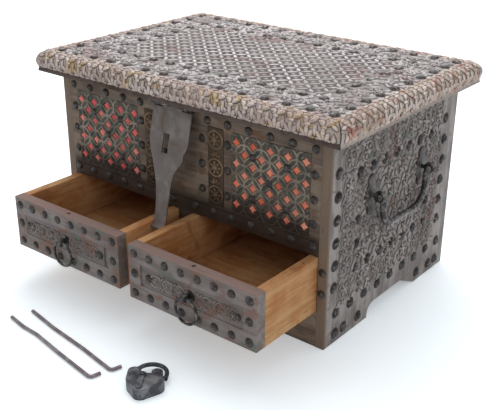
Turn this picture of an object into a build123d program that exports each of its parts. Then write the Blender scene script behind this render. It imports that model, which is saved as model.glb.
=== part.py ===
"""Arabic dowry chest with two drawers, a hasped lid, bail handles, a padlock and two drawer rods.

Units are millimetres. X runs left to right, -Y is the front, +Z is up.
The origin is the centre of the carcass footprint, on the floor.
The chest stands with its lid shut, its drawers part open and its loose ironwork in front of it.
"""

from build123d import *
import os
from math import atan, degrees, radians, tan

os.makedirs("parts", exist_ok=True)

# ---------------------------------------------------------------- driving dimensions

# Carcass boards
BODY_W = 560.0
BODY_D = 380.0
BODY_H = 339.0
SIDE_T = 16.0
BACK_T = 18.0
FRONT_T = 22.0
APRON_T = 18.0
FLOOR_T = 12.0
DIVIDER_T = 27.0
CASE_FLOOR_TOP = 61.4
FRONT_BOARD_BOTTOM = 154.6

# Feet: bracket feet at the corners with a low arch between them
SIDE_FOOT_FRONT = 124.0
SIDE_FOOT_BACK = 103.0
APRON_FOOT = 96.0
ARCH_H = 23.0
ARCH_TOE = 6.0
ARCH_COVE_W = 22.0
SIDE_ARCH_SLOPE_W = 48.0

# Lid
LID_T = 34.0
LID_SEAT_GAP = 0.3
OVERHANG_FRONT = 32.0
OVERHANG_SIDE = 33.0
OVERHANG_BACK = 18.7
MOULDING_W = 26.0
FILLET_H = 7.0
FILLET_SETBACK = 3.0
BULLNOSE_TOP_SETBACK = 11.0

# Fans and leaves carved round the edge mouldings
FAN_SINK = 1.4
FAN_PITCH = 26.0
FAN_END = 30.0
FAN_HALF_W = 10.0
FAN_FOOT_HALF_W = 3.0
FAN_WIDEST = 20.0
LEAF_HALF_W = 2.0
LEAF_LOW = 13.0
LEAF_HIGH = 31.0

# Incised border lines
GROOVE_W = 2.0
GROOVE_DEPTH = 1.2
LID_BORDER_PITCH = 28.0
LID_BORDER_MARGIN = 19.0
SIDE_BORDER_FRONT = 30.0
SIDE_BORDER_BACK = 45.0
SIDE_BORDER_FOOT = 62.0
SIDE_BORDER_TOP = 12.0
FIELD_FRONT = 66.0
FIELD_BACK = 82.0
FIELD_FOOT = 122.0
FIELD_TOP = 79.0

# Flowers in the side boards' band, and leaves in their inner field
BAND_FLOWER_R = 15.0
BAND_FLOWER_GAP = 1.5
BAND_FLOWERS_ALONG = 7
BAND_FLOWERS_UP = 6
BAND_FLOWER_RISE = 24.0
BAND_FLOWER_DROP = 42.0
CARVING_H = 1.3
FIELD_LEAF_L = 12.0
FIELD_LEAF_W = 6.0
FIELD_LEAF_TAPER = 40.0
FIELD_LEAF_TURN = 45.0
FIELD_LEAF_FRONT = 24.0
FIELD_LEAF_BACK = 19.0
FIELD_LEAF_RISE = 9.0
FIELD_LEAVES_ALONG = 14
FIELD_LEAVES_UP = 9

# Pierced lattice panels over a coloured backing
LATTICE_X0 = 99.0
LATTICE_STILE = 18.0
LATTICE_RAIL_BELOW = 26.4
LATTICE_RAIL_ABOVE = 28.0
LATTICE_T = 5.2
BACKING_T = 1.2
STAR_EDGE_X = 9.5
STAR_EDGE_Z = 14.9
STAR_COLS = 9
STAR_ROWS = 7
STAR_TIP = 7.4
STAR_WAIST = 3.0

# Applied strips with three rosettes
STRIP_X0 = 52.0
STRIP_W = 32.0
STRIP_T = 3.0
STRIP_RECESS = 2.0
ROSETTE_R = 14.0
ROSETTE_H = 1.5
ROSETTE_SIDES = 12
ROSETTE_EDGE = 19.5
ROSETTES = 3

# Domed nails
NAIL_R = 6.5
NAIL_CROWN_R = 3.6
NAIL_H = 4.2
NAIL_SIDES = 6
RAIL_NAIL_TOP = 19.5
RAIL_NAIL_BOTTOM = 15.0
RAIL_NAIL_FIRST = 24.0
RAIL_NAIL_SIDE = 10.0
STRIP_NAIL_GAP = 12.0
STRIP_NAIL_INSET = 23.0
STILE_NAIL_RISE = 33.6
STILE_NAIL_PITCH = 36.0
SIDE_NAIL_FRONT = 20.0
SIDE_NAIL_BACK = 38.0
SIDE_NAIL_TOP = 55.0
SIDE_NAIL_FOOT = 100.0
FIELD_NAIL_OUT = 9.0
FIELD_NAIL_FRONT = 11.0
FIELD_NAIL_BACK = 6.0
FIELD_NAIL_PITCH = 39.0
FOOT_ROW_Z = 53.0
FOOT_ROW_EDGE = 29.0
FOOT_NAIL_Z = 17.0
FOOT_NAIL_EDGE = 29.0
FOOT_NAIL_PITCH = 24.0
FOOT_NAIL_LAST = 95.0
LID_NAIL_EDGE = 8.5
LID_NAIL_INNER = 61.0
DRAWER_NAIL_EDGE = 12.5
FLAT_TO_CORNER = 0.866

# Drawers
DRAWER_EXTENSION_LEFT = 137.5
DRAWER_EXTENSION_RIGHT = 143.5
DRAWER_LENGTH = 340.0
DRAWER_FRONT_T = 19.0
DRAWER_SIDE_T = 16.0
DRAWER_BACK_T = 14.0
DRAWER_BOTTOM_T = 12.5
DRAWER_SIDE_CLEARANCE = 1.2
DRAWER_RUN_CLEARANCE = 0.3
DRAWER_TOP_CLEARANCE = 1.9

# Carved frieze let into each drawer front
FRIEZE_RECESS_MARGIN = 24.0
FRIEZE_H = 34.0
FRIEZE_T = 2.4
FRIEZE_RECESS = 3.0
FRIEZE_INNER_GAP = 9.0
FRIEZE_FIT = 0.5
FRIEZE_ROSETTES = 6
FRIEZE_ROSETTE_R = 9.0

# Ring pulls
RING_R = 20.5
RING_WIRE_R = 2.2
EYE_R = 5.4
EYE_WIRE_R = 1.8
EYE_REACH = 8.2
ESCUTCHEON_R = 9.0
ESCUTCHEON_T = 1.5
HANG_GAP = 0.3

# Bail handles on the sides
HANDLE_Y = -2.0
HANDLE_DROP = 38.0
HANDLE_REACH = 17.0
HANDLE_EYE_HALF = 77.0
BAIL_LEG_HALF = 66.0
BAIL_END_HALF = 87.0
BAIL_DROP = 55.0
BAIL_R = 4.0
BAIL_CORNER_R = 32.0
BAIL_NECK_R = 8.0
BAIL_CLEARANCE = 0.3
HANDLE_EYE_WIRE_R = 2.8
HANDLE_POST_R = 3.4
PLATE_T = 3.0
PLATE_R = 20.0
PLATE_LOBE_R = 10.5
PLATE_LOBE_REACH = 23.0

# Lid hinges
HINGE_X = 150.0
HINGE_HALF_W = 22.0
HINGE_MID_HALF = 7.6
HINGE_OUT = 7.0
HINGE_R = 5.0
HINGE_PIN_R = 2.3
HINGE_LEAF_T = 2.5
HINGE_LEAF_H = 38.0
HINGE_LEAF_DEPTH = 9.5
RUNNING_CLEARANCE = 0.05
KNUCKLE_GAP = 0.4

# Hasp
HASP_X = -6.0
HASP_HALF_W = 40.0
HASP_KNUCKLE_HALF = 20.0
HASP_OUT = 13.0
HASP_T = 2.5
HASP_TILT = 14.0
HASP_OVERREACH = 16.5
HASP_LIP_R = 9.0
HASP_LIP_ANGLE = 75.0
HASP_TONGUE_HALF = 12.5
HASP_TONGUE_X = -0.5
HASP_KNUCKLE_R = 4.6
HASP_PIN_R = 2.2
HASP_LEAF_T = 2.5
HASP_LEAF_DEPTH = 15.0
SLOT_X = -10.5
SLOT_W = 12.5
SLOT_H = 31.0
SLOT_DOWN = 61.0

# Hasp staple
STAPLE_WIRE_R = 2.5
STAPLE_HALF_H = 9.5
STAPLE_REACH = 22.7

# Drawer rods, and the holes that they drop through
ROD_R = 3.0
ROD_HOLE_R = 3.3
ROD_HOLE_DEPTH = 50.0
ROD_SETBACK = 11.0
ROD_LENGTH = 224.0
ROD_TAIL = 17.0
ROD_BOW = 2.6
ROD_LEFT_X = -160.5
ROD_LEFT_Y = -431.0
ROD_LEFT_TURN = -8.4
ROD_RIGHT_X = -149.5
ROD_RIGHT_Y = -398.0
ROD_RIGHT_TURN = -8.9
ROD_BEND_R = 6.0

# Padlock, lying on its back on the floor
LOCK_X = 126.2
LOCK_Y = -417.0
LOCK_TURN = 33.7
LOCK_T = 18.0
SHACKLE_R = 3.3
SHACKLE_PIVOT_U = -15.0
SHACKLE_LEG_U = 30.5
SHACKLE_STRAIGHT = 6.8
SHACKLE_TIP_V = -5.5
SHACKLE_EYE_R = 8.0
SHACKLE_EYE_T = 6.2
LOCK_SLOT_CLEARANCE = 0.4
LOCK_EAR_R = 9.5
LOCK_CATCH_U = 18.0
LOCK_CATCH_R = 8.2
LOCK_SHOULDER_V = -18.0
LOCK_SHOULDER_LEFT_U = -10.0
LOCK_SHOULDER_LEFT_R = 13.5
LOCK_SHOULDER_RIGHT_U = 17.0
LOCK_SHOULDER_RIGHT_R = 14.5
LOCK_FOOT_V = -34.0
LOCK_FOOT_R = 12.0
LOCK_PIN_R = 2.0
COVER_T = 2.0
COVER_LENGTH = 33.0
COVER_HALF_W = 4.5
COVER_PIVOT = (-1.0, -10.0)

# ---------------------------------------------------------------- derived places

HALF_W = BODY_W / 2
HALF_D = BODY_D / 2
FRONT_Y = -HALF_D
INNER_HALF_W = HALF_W - SIDE_T
LID_BOTTOM = BODY_H + LID_SEAT_GAP
LID_TOP = LID_BOTTOM + LID_T
LID_X = HALF_W + OVERHANG_SIDE
LID_FRONT = FRONT_Y - OVERHANG_FRONT
LID_BACK = HALF_D + OVERHANG_BACK
LID_MID_Y = (LID_FRONT + LID_BACK) / 2
DRAWER_X0 = DIVIDER_T / 2 + DRAWER_SIDE_CLEARANCE
DRAWER_X1 = INNER_HALF_W - DRAWER_SIDE_CLEARANCE
DRAWER_MID = (DRAWER_X0 + DRAWER_X1) / 2
DRAWER_Z0 = CASE_FLOOR_TOP + DRAWER_RUN_CLEARANCE
DRAWER_Z1 = FRONT_BOARD_BOTTOM - DRAWER_TOP_CLEARANCE
DRAWER_MID_Z = (DRAWER_Z0 + DRAWER_Z1) / 2
LATTICE_RECESS = LATTICE_T + BACKING_T
LATTICE_X1 = INNER_HALF_W - LATTICE_STILE
LATTICE_Z0 = FRONT_BOARD_BOTTOM + LATTICE_RAIL_BELOW
LATTICE_Z1 = BODY_H - LATTICE_RAIL_ABOVE
STRIP_MID = STRIP_X0 + STRIP_W / 2
HINGE_Y = HALF_D + HINGE_OUT
HINGE_Z = LID_BOTTOM - HINGE_R - LID_SEAT_GAP
HASP_Y = FRONT_Y - HASP_OUT
HASP_Z = LID_BOTTOM - HASP_KNUCKLE_R - 2 * LID_SEAT_GAP
HASP_LENGTH = HASP_Z - FRONT_BOARD_BOTTOM + HASP_OVERREACH
STAPLE_Z = HASP_Z - SLOT_DOWN
HANDLE_X = HALF_W + HANDLE_REACH
HANDLE_Z = BODY_H - FIELD_TOP - HANDLE_DROP


# ---------------------------------------------------------------- small tools


def block(x0, x1, y0, y1, z0, z1):
    """A board with square edges between two corners."""
    centre = Pos((x0 + x1) / 2, (y0 + y1) / 2, (z0 + z1) / 2)
    return centre * Box(x1 - x0, y1 - y0, z1 - z0)


def across_x(sketch, x0, x1):
    """Extrude a (y, z) outline from x0 to x1."""
    return extrude(Plane.YZ.offset(x0) * sketch, amount=x1 - x0, dir=(1, 0, 0))


def across_y(sketch, y0, y1):
    """Extrude an (x, z) outline from y0 to y1."""
    return extrude(Plane.XZ.offset(-y1) * sketch, amount=y1 - y0, dir=(0, -1, 0))


def across_z(sketch, z0, z1):
    """Extrude an (x, y) outline from z0 to z1."""
    return extrude(Plane.XY.offset(z0) * sketch, amount=z1 - z0, dir=(0, 0, 1))


def frame_line(u0, u1, v0, v1):
    """The outline of one incised border: a thin rectangular ring."""
    middle = Pos((u0 + u1) / 2, (v0 + v1) / 2)
    outer = middle * Rectangle(u1 - u0, v1 - v0)
    inner = middle * Rectangle(u1 - u0 - 2 * GROOVE_W, v1 - v0 - 2 * GROOVE_W)
    return outer - inner


def rod_x(x0, x1, y, z, radius):
    """A round bar along X."""
    return Pos((x0 + x1) / 2, y, z) * Rot(0, 90, 0) * Cylinder(radius, x1 - x0)


def mirrored(shape):
    """The same piece on the other side of the chest."""
    return mirror(shape, about=Plane.YZ)


def spread(first, last, count):
    """Evenly spaced places from first to last."""
    step = (last - first) / (count - 1)
    return [first + step * i for i in range(count)]


def group(solids):
    """Separate solids that share one node."""
    return Compound(children=list(solids))


def cove(u, run):
    """One end of a foot arch: a short upright toe, then a hollow curve up to the arch's top."""
    shoulder = (u + run * 0.3, ARCH_TOE + (ARCH_H - ARCH_TOE) * 0.72)
    toe = Line((u, 0), (u, ARCH_TOE))
    return toe + ThreePointArc((u, ARCH_TOE), shoulder, (u + run, ARCH_H))


def apron_arch(u0, u1):
    """The low arch between the feet of the front and the back, coved at both ends."""
    curve = cove(u0, ARCH_COVE_W) + cove(u1, -ARCH_COVE_W)
    curve += Line((u0 + ARCH_COVE_W, ARCH_H), (u1 - ARCH_COVE_W, ARCH_H))
    curve += Polyline((u0, 0), (u0, -1), (u1, -1), (u1, 0))
    return make_face(curve)


def side_arch(u0, u1):
    """The arch of a side board: coved at the front foot, with a long straight slope at the back."""
    slope_top = u1 - SIDE_ARCH_SLOPE_W
    curve = cove(u0, ARCH_COVE_W)
    curve += Polyline((u0 + ARCH_COVE_W, ARCH_H), (slope_top, ARCH_H), (u1, 0))
    curve += Polyline((u0, 0), (u0, -1), (u1, -1), (u1, 0))
    return make_face(curve)


def rosette(radius, height):
    """A low carved flower: a many-sided boss with a smaller one in its middle."""
    petals = extrude(RegularPolygon(radius, ROSETTE_SIDES), amount=height, taper=35)
    heart = Pos(0, 0, height) * extrude(RegularPolygon(radius * 0.3, NAIL_SIDES), amount=height)
    return petals + heart


# ---------------------------------------------------------------- nails


def dome_nail():
    """One hand-forged nail head with its flat side on the board, standing along +Z."""
    flat_shrink = (NAIL_R - NAIL_CROWN_R) * FLAT_TO_CORNER
    slope = degrees(atan(flat_shrink / NAIL_H))
    return extrude(RegularPolygon(NAIL_R, NAIL_SIDES), amount=NAIL_H, taper=slope)


def nails_facing(direction, x_dir, places):
    """Nail heads at the given places, all standing along one direction."""
    head = dome_nail()
    return [Plane(origin=place, x_dir=x_dir, z_dir=direction).location * head for place in places]


def front_nails_at(places, y):
    return nails_facing((0, -1, 0), (1, 0, 0), [(x, y, z) for x, z in places])


# ---------------------------------------------------------------- carcass


def side_field():
    """The inner field of a side board as (y0, y1, z0, z1)."""
    return (-HALF_D + FIELD_FRONT, HALF_D - FIELD_BACK, FIELD_FOOT, BODY_H - FIELD_TOP)


def side_board_right():
    board = block(INNER_HALF_W, HALF_W, -HALF_D, HALF_D, 0, BODY_H)
    arch = side_arch(-HALF_D + SIDE_FOOT_FRONT, HALF_D - SIDE_FOOT_BACK)
    board -= across_x(arch, INNER_HALF_W - 1, HALF_W + 1)
    border_ys = (-HALF_D + SIDE_BORDER_FRONT, HALF_D - SIDE_BORDER_BACK)
    border_zs = (SIDE_BORDER_FOOT, BODY_H - SIDE_BORDER_TOP)
    for line in (frame_line(*border_ys, *border_zs), frame_line(*side_field())):
        board -= across_x(line, HALF_W - GROOVE_DEPTH, HALF_W + 1)
    return board + side_carving()


def band_flower_places():
    """Places of the flowers between a side board's two borders, as (y, z)."""
    field_front, field_back, _, _ = side_field()
    reach = BAND_FLOWER_GAP + BAND_FLOWER_R
    ys = spread(field_front - reach, field_back + reach, BAND_FLOWERS_ALONG)
    zs = spread(SIDE_BORDER_FOOT + BAND_FLOWER_RISE, BODY_H - BAND_FLOWER_DROP, BAND_FLOWERS_UP)
    places = [(y, z) for y in ys for z in (zs[0], zs[-1])]
    return places + [(y, z) for y in (ys[0], ys[-1]) for z in zs[1:-1]]


def field_leaf_places():
    """Places and turns of the leaves in a side board's field, clear of the handle's plates."""
    field_front, field_back, field_foot, field_top = side_field()
    ys = spread(field_front + FIELD_LEAF_FRONT, field_back - FIELD_LEAF_BACK, FIELD_LEAVES_ALONG)
    zs = spread(field_foot + FIELD_LEAF_RISE, field_top - FIELD_LEAF_RISE, FIELD_LEAVES_UP)
    clear_y = PLATE_R + FIELD_LEAF_L / 2
    clear_z = PLATE_LOBE_REACH + PLATE_LOBE_R + FIELD_LEAF_L / 2
    places = []
    for row, z in enumerate(zs):
        shift = (ys[1] - ys[0]) / 2 * (row % 2)
        for column, y in enumerate(ys[: len(ys) - row % 2]):
            on_plate = any(abs(y + shift - eye_y) < clear_y for eye_y in handle_eye_ys())
            if not (on_plate and abs(z - HANDLE_Z) < clear_z):
                places.append((y + shift, z, FIELD_LEAF_TURN * (-1) ** (row + column)))
    return places


def side_carving():
    """The flowers and leaves that stand on the right side board, as separate low solids."""
    flower = rosette(BAND_FLOWER_R, CARVING_H)
    half_l = FIELD_LEAF_L / 2
    half_w = FIELD_LEAF_W / 2
    outline = Polygon((half_l, 0), (0, half_w), (-half_l, 0), (0, -half_w), align=None)
    leaf = extrude(outline, amount=CARVING_H, taper=FIELD_LEAF_TAPER)
    face = Plane(origin=(HALF_W, 0, 0), x_dir=(0, 1, 0), z_dir=(1, 0, 0))
    carving = [face.location * Pos(y, z) * flower for y, z in band_flower_places()]
    return carving + [face.location * Pos(y, z) * Rot(0, 0, turn) * leaf for y, z, turn in field_leaf_places()]


def front_board():
    board = block(-INNER_HALF_W, INNER_HALF_W, FRONT_Y, FRONT_Y + FRONT_T, FRONT_BOARD_BOTTOM, BODY_H)
    for side in (1, -1):
        low, high = sorted((side * LATTICE_X0, side * LATTICE_X1))
        board -= block(low, high, FRONT_Y - 1, FRONT_Y + LATTICE_RECESS, LATTICE_Z0, LATTICE_Z1)
        low, high = sorted((side * STRIP_X0, side * (STRIP_X0 + STRIP_W)))
        board -= block(low, high, FRONT_Y - 1, FRONT_Y + STRIP_RECESS, LATTICE_Z0, LATTICE_Z1)
        shaft_h = BODY_H - FRONT_BOARD_BOTTOM + 2
        shaft = Pos(side * DRAWER_MID, FRONT_Y + ROD_SETBACK, FRONT_BOARD_BOTTOM - 1 + shaft_h / 2)
        board -= shaft * Cylinder(ROD_HOLE_R, shaft_h)
    rail_line = (LATTICE_Z0 - 3 - GROOVE_W, LATTICE_Z0 - 3)
    board -= block(-INNER_HALF_W + 6, INNER_HALF_W - 6, FRONT_Y - 1, FRONT_Y + GROOVE_DEPTH, *rail_line)
    return board


def back_board():
    board = block(-INNER_HALF_W, INNER_HALF_W, HALF_D - BACK_T, HALF_D, 0, BODY_H)
    arch = apron_arch(-HALF_W + APRON_FOOT, HALF_W - APRON_FOOT)
    return board - across_y(arch, HALF_D - BACK_T - 1, HALF_D + 1)


def front_apron():
    board = block(-INNER_HALF_W, INNER_HALF_W, FRONT_Y, FRONT_Y + APRON_T, 0, CASE_FLOOR_TOP)
    arch = apron_arch(-HALF_W + APRON_FOOT, HALF_W - APRON_FOOT)
    return board - across_y(arch, FRONT_Y - 1, FRONT_Y + APRON_T + 1)


def drawer_case_floor():
    y0 = FRONT_Y + APRON_T
    y1 = HALF_D - BACK_T
    return block(-INNER_HALF_W, INNER_HALF_W, y0, y1, CASE_FLOOR_TOP - FLOOR_T, CASE_FLOOR_TOP)


def chest_floor():
    y0 = FRONT_Y + FRONT_T
    y1 = HALF_D - BACK_T
    z0 = FRONT_BOARD_BOTTOM
    return block(-INNER_HALF_W, INNER_HALF_W, y0, y1, z0, z0 + FLOOR_T)


def drawer_divider():
    half = DIVIDER_T / 2
    return block(-half, half, FRONT_Y, HALF_D - BACK_T, CASE_FLOOR_TOP, FRONT_BOARD_BOTTOM)


def star_opening():
    """One opening of the lattice: a four-pointed star with hollow sides."""
    tips = [(STAR_TIP, 0), (0, STAR_TIP), (-STAR_TIP, 0), (0, -STAR_TIP)]
    waists = [(STAR_WAIST, STAR_WAIST), (-STAR_WAIST, STAR_WAIST)]
    waists += [(-STAR_WAIST, -STAR_WAIST), (STAR_WAIST, -STAR_WAIST)]
    outline = [point for pair in zip(tips, waists) for point in pair]
    return Polygon(*outline, align=None)


def star_grid():
    """The columns and rows of the grid that the openings and the lattice nails lie on."""
    xs = spread(LATTICE_X0 + STAR_EDGE_X, LATTICE_X1 - STAR_EDGE_X, STAR_COLS)
    zs = spread(LATTICE_Z0 + STAR_EDGE_Z, LATTICE_Z1 - STAR_EDGE_Z, STAR_ROWS)
    return xs, zs


def star_places():
    """Centres of the openings: every other crossing of the grid, so that they stagger."""
    xs, zs = star_grid()
    return [(x, z) for row, z in enumerate(zs) for x in xs[row % 2 :: 2]]


def lattice_right():
    """A pierced panel, flush with the front board."""
    middle = Pos((LATTICE_X0 + LATTICE_X1) / 2, (LATTICE_Z0 + LATTICE_Z1) / 2)
    panel = middle * Rectangle(LATTICE_X1 - LATTICE_X0, LATTICE_Z1 - LATTICE_Z0)
    star = star_opening()
    panel -= [Pos(x, z) * star for x, z in star_places()]
    return across_y(panel, FRONT_Y, FRONT_Y + LATTICE_T)


def lattice_backing_right():
    y0 = FRONT_Y + LATTICE_T
    return block(LATTICE_X0, LATTICE_X1, y0, y0 + BACKING_T, LATTICE_Z0, LATTICE_Z1)


def carved_strip_right():
    """An applied strip with three rosettes, seated in a shallow recess."""
    face_y = FRONT_Y + STRIP_RECESS - STRIP_T
    strip = block(STRIP_X0, STRIP_X0 + STRIP_W, face_y, face_y + STRIP_T, LATTICE_Z0, LATTICE_Z1)
    flower = rosette(ROSETTE_R, ROSETTE_H)
    for z in spread(LATTICE_Z0 + ROSETTE_EDGE, LATTICE_Z1 - ROSETTE_EDGE, ROSETTES):
        place = Plane(origin=(STRIP_MID, face_y, z), x_dir=(1, 0, 0), z_dir=(0, -1, 0))
        strip += place.location * flower
    return strip


def front_nails():
    """Nails on the front board and on the side boards' front edges."""
    side_x = DRAWER_X1 - RAIL_NAIL_SIDE
    top_z = BODY_H - RAIL_NAIL_TOP
    strip_gap_x = STRIP_X0 + STRIP_W + (LATTICE_X0 - STRIP_X0 - STRIP_W) / 2
    hasp_gap_x = STRIP_X0 - STRIP_NAIL_GAP
    low_z = LATTICE_Z0 + STRIP_NAIL_INSET
    high_z = LATTICE_Z1 - STRIP_NAIL_INSET
    places = [(side_x, z) for z in spread(low_z, top_z, 4)]
    places += [(x, top_z) for x in spread(STRIP_X0, side_x, 6)[:-1]]
    places += [(x, FRONT_BOARD_BOTTOM + RAIL_NAIL_BOTTOM) for x in spread(RAIL_NAIL_FIRST, side_x, 7)]
    places += [(strip_gap_x, z) for z in spread(low_z, high_z, 3)]
    places += [(hasp_gap_x, z) for z in spread(low_z, high_z, 3)]
    xs, zs = star_grid()
    places += [(xs[col], zs[row]) for col, row in ((2, 1), (6, 1), (4, 3), (2, 5), (6, 5))]
    stile_z = CASE_FLOOR_TOP + STILE_NAIL_RISE
    places += [(HALF_W - SIDE_T / 2, stile_z + step * STILE_NAIL_PITCH) for step in (0, 1)]
    both = places + [(-x, z) for x, z in places]
    return group(front_nails_at(both, FRONT_Y))


def side_nail_places():
    """Places of the nails on one side board, as (y, z)."""
    front = -HALF_D
    back = HALF_D
    field_front, field_back, field_foot, field_top = side_field()
    column = spread(SIDE_NAIL_FOOT, BODY_H - SIDE_NAIL_TOP, 6)
    places = [(y, z) for y in (front + SIDE_NAIL_FRONT, back - SIDE_NAIL_BACK) for z in column]
    ys = spread(field_front + FIELD_NAIL_FRONT, field_back - FIELD_NAIL_BACK, 7)
    low_z = field_foot - FIELD_NAIL_OUT
    places += [(y, z) for y in ys for z in (low_z, field_top + FIELD_NAIL_OUT)]
    places += [(y, low_z + step * FIELD_NAIL_PITCH) for y in (ys[0], ys[-1]) for step in (1, 2)]
    places += [(y, FOOT_ROW_Z) for y in spread(front + FOOT_ROW_EDGE, back - FOOT_ROW_EDGE, 9)]
    for inset in (FOOT_NAIL_EDGE, FOOT_NAIL_EDGE + FOOT_NAIL_PITCH, FOOT_NAIL_LAST):
        places += [(front + inset, FOOT_NAIL_Z), (back - inset, FOOT_NAIL_Z)]
    return places


def nails_right():
    places = [(HALF_W, y, z) for y, z in side_nail_places()]
    return group(nails_facing((1, 0, 0), (0, 1, 0), places))


def nails_left():
    places = [(-HALF_W, y, z) for y, z in side_nail_places()]
    return group(nails_facing((-1, 0, 0), (0, 1, 0), places))


# ---------------------------------------------------------------- lid


def moulding_profile(sink=0.0):
    """Section of the edge moulding, from its inner face outwards; sink lowers the bullnose above its fillet."""
    fillet_u = MOULDING_W - FILLET_SETBACK
    top_u = MOULDING_W - BULLNOSE_TOP_SETBACK - sink
    nose_v = FILLET_H + (LID_T - FILLET_H) * 0.4
    curve = Polyline((top_u, LID_T), (0, LID_T), (0, 0), (fillet_u, 0), (fillet_u, FILLET_H))
    if sink:
        curve += Line((fillet_u, FILLET_H), (fillet_u - sink, FILLET_H))
    curve += ThreePointArc((fillet_u - sink, FILLET_H), (MOULDING_W - sink, nose_v), (top_u, LID_T))
    return make_face(curve)


def carved_outlines(first, last):
    """Outlines of the full-height fans along one moulding and of the leaves between them, as (along, z)."""
    places = spread(first + FAN_END, last - FAN_END, round((last - first - 2 * FAN_END) / FAN_PITCH))
    fan = [(-FAN_FOOT_HALF_W, FILLET_H), (FAN_FOOT_HALF_W, FILLET_H), (FAN_HALF_W, FAN_WIDEST)]
    fan += [(FAN_FOOT_HALF_W, LID_T), (-FAN_FOOT_HALF_W, LID_T), (-FAN_HALF_W, FAN_WIDEST)]
    leaf = [(0, LEAF_LOW), (LEAF_HALF_W, FAN_WIDEST), (0, LEAF_HIGH), (-LEAF_HALF_W, FAN_WIDEST)]
    half_pitch = (places[1] - places[0]) / 2
    shapes = [(place, fan) for place in places]
    shapes += [(place + half_pitch, leaf) for place in places[:-1]]
    return [Polygon(*[(at + u, LID_BOTTOM + v) for u, v in points], align=None) for at, points in shapes]


def carved_moulding(make_bar, prisms):
    """A moulding sunk to its carving's ground, with the carving standing up to its full section."""
    full = make_bar(0)
    return make_bar(FAN_SINK) + [full & prism for prism in prisms]


def mitre_prism(corners):
    """The plan of one mitred moulding, as a tall prism to cut its bar with."""
    return across_z(Polygon(*corners, align=None), LID_BOTTOM - 1, LID_TOP + 1)


def front_bar(sink):
    plane = Plane(origin=(-LID_X, LID_FRONT + MOULDING_W, LID_BOTTOM), x_dir=(0, -1, 0), z_dir=(1, 0, 0))
    profile = mirror(moulding_profile(sink), about=Plane.XZ)
    bar = extrude(plane * profile, amount=2 * LID_X)
    inner = LID_X - MOULDING_W
    corners = [(-LID_X, LID_FRONT), (LID_X, LID_FRONT)]
    corners += [(inner, LID_FRONT + MOULDING_W), (-inner, LID_FRONT + MOULDING_W)]
    return bar & mitre_prism(corners)


def back_bar(sink):
    plane = Plane(origin=(-LID_X, LID_BACK - MOULDING_W, LID_BOTTOM), x_dir=(0, 1, 0), z_dir=(1, 0, 0))
    bar = extrude(plane * moulding_profile(sink), amount=2 * LID_X)
    inner = LID_X - MOULDING_W
    corners = [(-LID_X, LID_BACK), (LID_X, LID_BACK)]
    corners += [(inner, LID_BACK - MOULDING_W), (-inner, LID_BACK - MOULDING_W)]
    return bar & mitre_prism(corners)


def right_bar(sink):
    plane = Plane(origin=(LID_X - MOULDING_W, LID_BACK, LID_BOTTOM), x_dir=(1, 0, 0), z_dir=(0, -1, 0))
    bar = extrude(plane * moulding_profile(sink), amount=LID_BACK - LID_FRONT)
    inner = LID_X - MOULDING_W
    corners = [(LID_X, LID_FRONT), (LID_X, LID_BACK)]
    corners += [(inner, LID_BACK - MOULDING_W), (inner, LID_FRONT + MOULDING_W)]
    return bar & mitre_prism(corners)


def lid_moulding_front():
    outlines = carved_outlines(-LID_X, LID_X)
    prisms = [across_y(outline, LID_FRONT - 1, LID_FRONT + MOULDING_W / 2) for outline in outlines]
    return carved_moulding(front_bar, prisms)


def lid_moulding_back():
    outlines = carved_outlines(-LID_X, LID_X)
    prisms = [across_y(outline, LID_BACK - MOULDING_W / 2, LID_BACK + 1) for outline in outlines]
    return carved_moulding(back_bar, prisms)


def lid_moulding_right():
    outlines = carved_outlines(LID_FRONT, LID_BACK)
    prisms = [across_x(outline, LID_X - MOULDING_W / 2, LID_X + 1) for outline in outlines]
    return carved_moulding(right_bar, prisms)


def lid_planks():
    """The two planks of the lid, with three incised borders running over both."""
    half_x = LID_X - MOULDING_W
    y0 = LID_FRONT + MOULDING_W
    y1 = LID_BACK - MOULDING_W
    lines = []
    for step in range(3):
        margin = LID_BORDER_MARGIN + step * LID_BORDER_PITCH
        line = frame_line(-half_x + margin, half_x - margin, y0 + margin, y1 - margin)
        lines.append(across_z(line, LID_TOP - GROOVE_DEPTH, LID_TOP + 1))
    planks = []
    for low, high in ((y0, LID_MID_Y), (LID_MID_Y, y1)):
        plank = block(-half_x, half_x, low, high, LID_BOTTOM, LID_TOP)
        for line in lines:
            plank -= line
        planks.append(plank)
    return planks


def ring_of_places(half_x, half_y, count_x, count_y):
    """Places around a rectangle on the lid, corners counted once."""
    xs = spread(-half_x, half_x, count_x)
    ys = spread(LID_MID_Y - half_y, LID_MID_Y + half_y, count_y)
    places = [(x, y) for x in xs for y in (ys[0], ys[-1])]
    return places + [(x, y) for x in (xs[0], xs[-1]) for y in ys[1:-1]]


def lid_nails():
    half_x = LID_X - MOULDING_W
    half_y = (LID_BACK - LID_FRONT) / 2 - MOULDING_W
    places = ring_of_places(half_x - LID_NAIL_EDGE, half_y - LID_NAIL_EDGE, 15, 10)
    places += ring_of_places(half_x - LID_NAIL_INNER, half_y - LID_NAIL_INNER, 13, 7)
    on_top = [(x, y, LID_TOP) for x, y in places]
    return group(nails_facing((0, 0, 1), (1, 0, 0), on_top))


# ---------------------------------------------------------------- lid hinges


def knuckle_spans():
    """X spans of the two outer knuckles, relative to the hinge's middle."""
    inner = HINGE_MID_HALF + KNUCKLE_GAP
    return ((-HINGE_HALF_W, -inner), (inner, HINGE_HALF_W))


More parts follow.
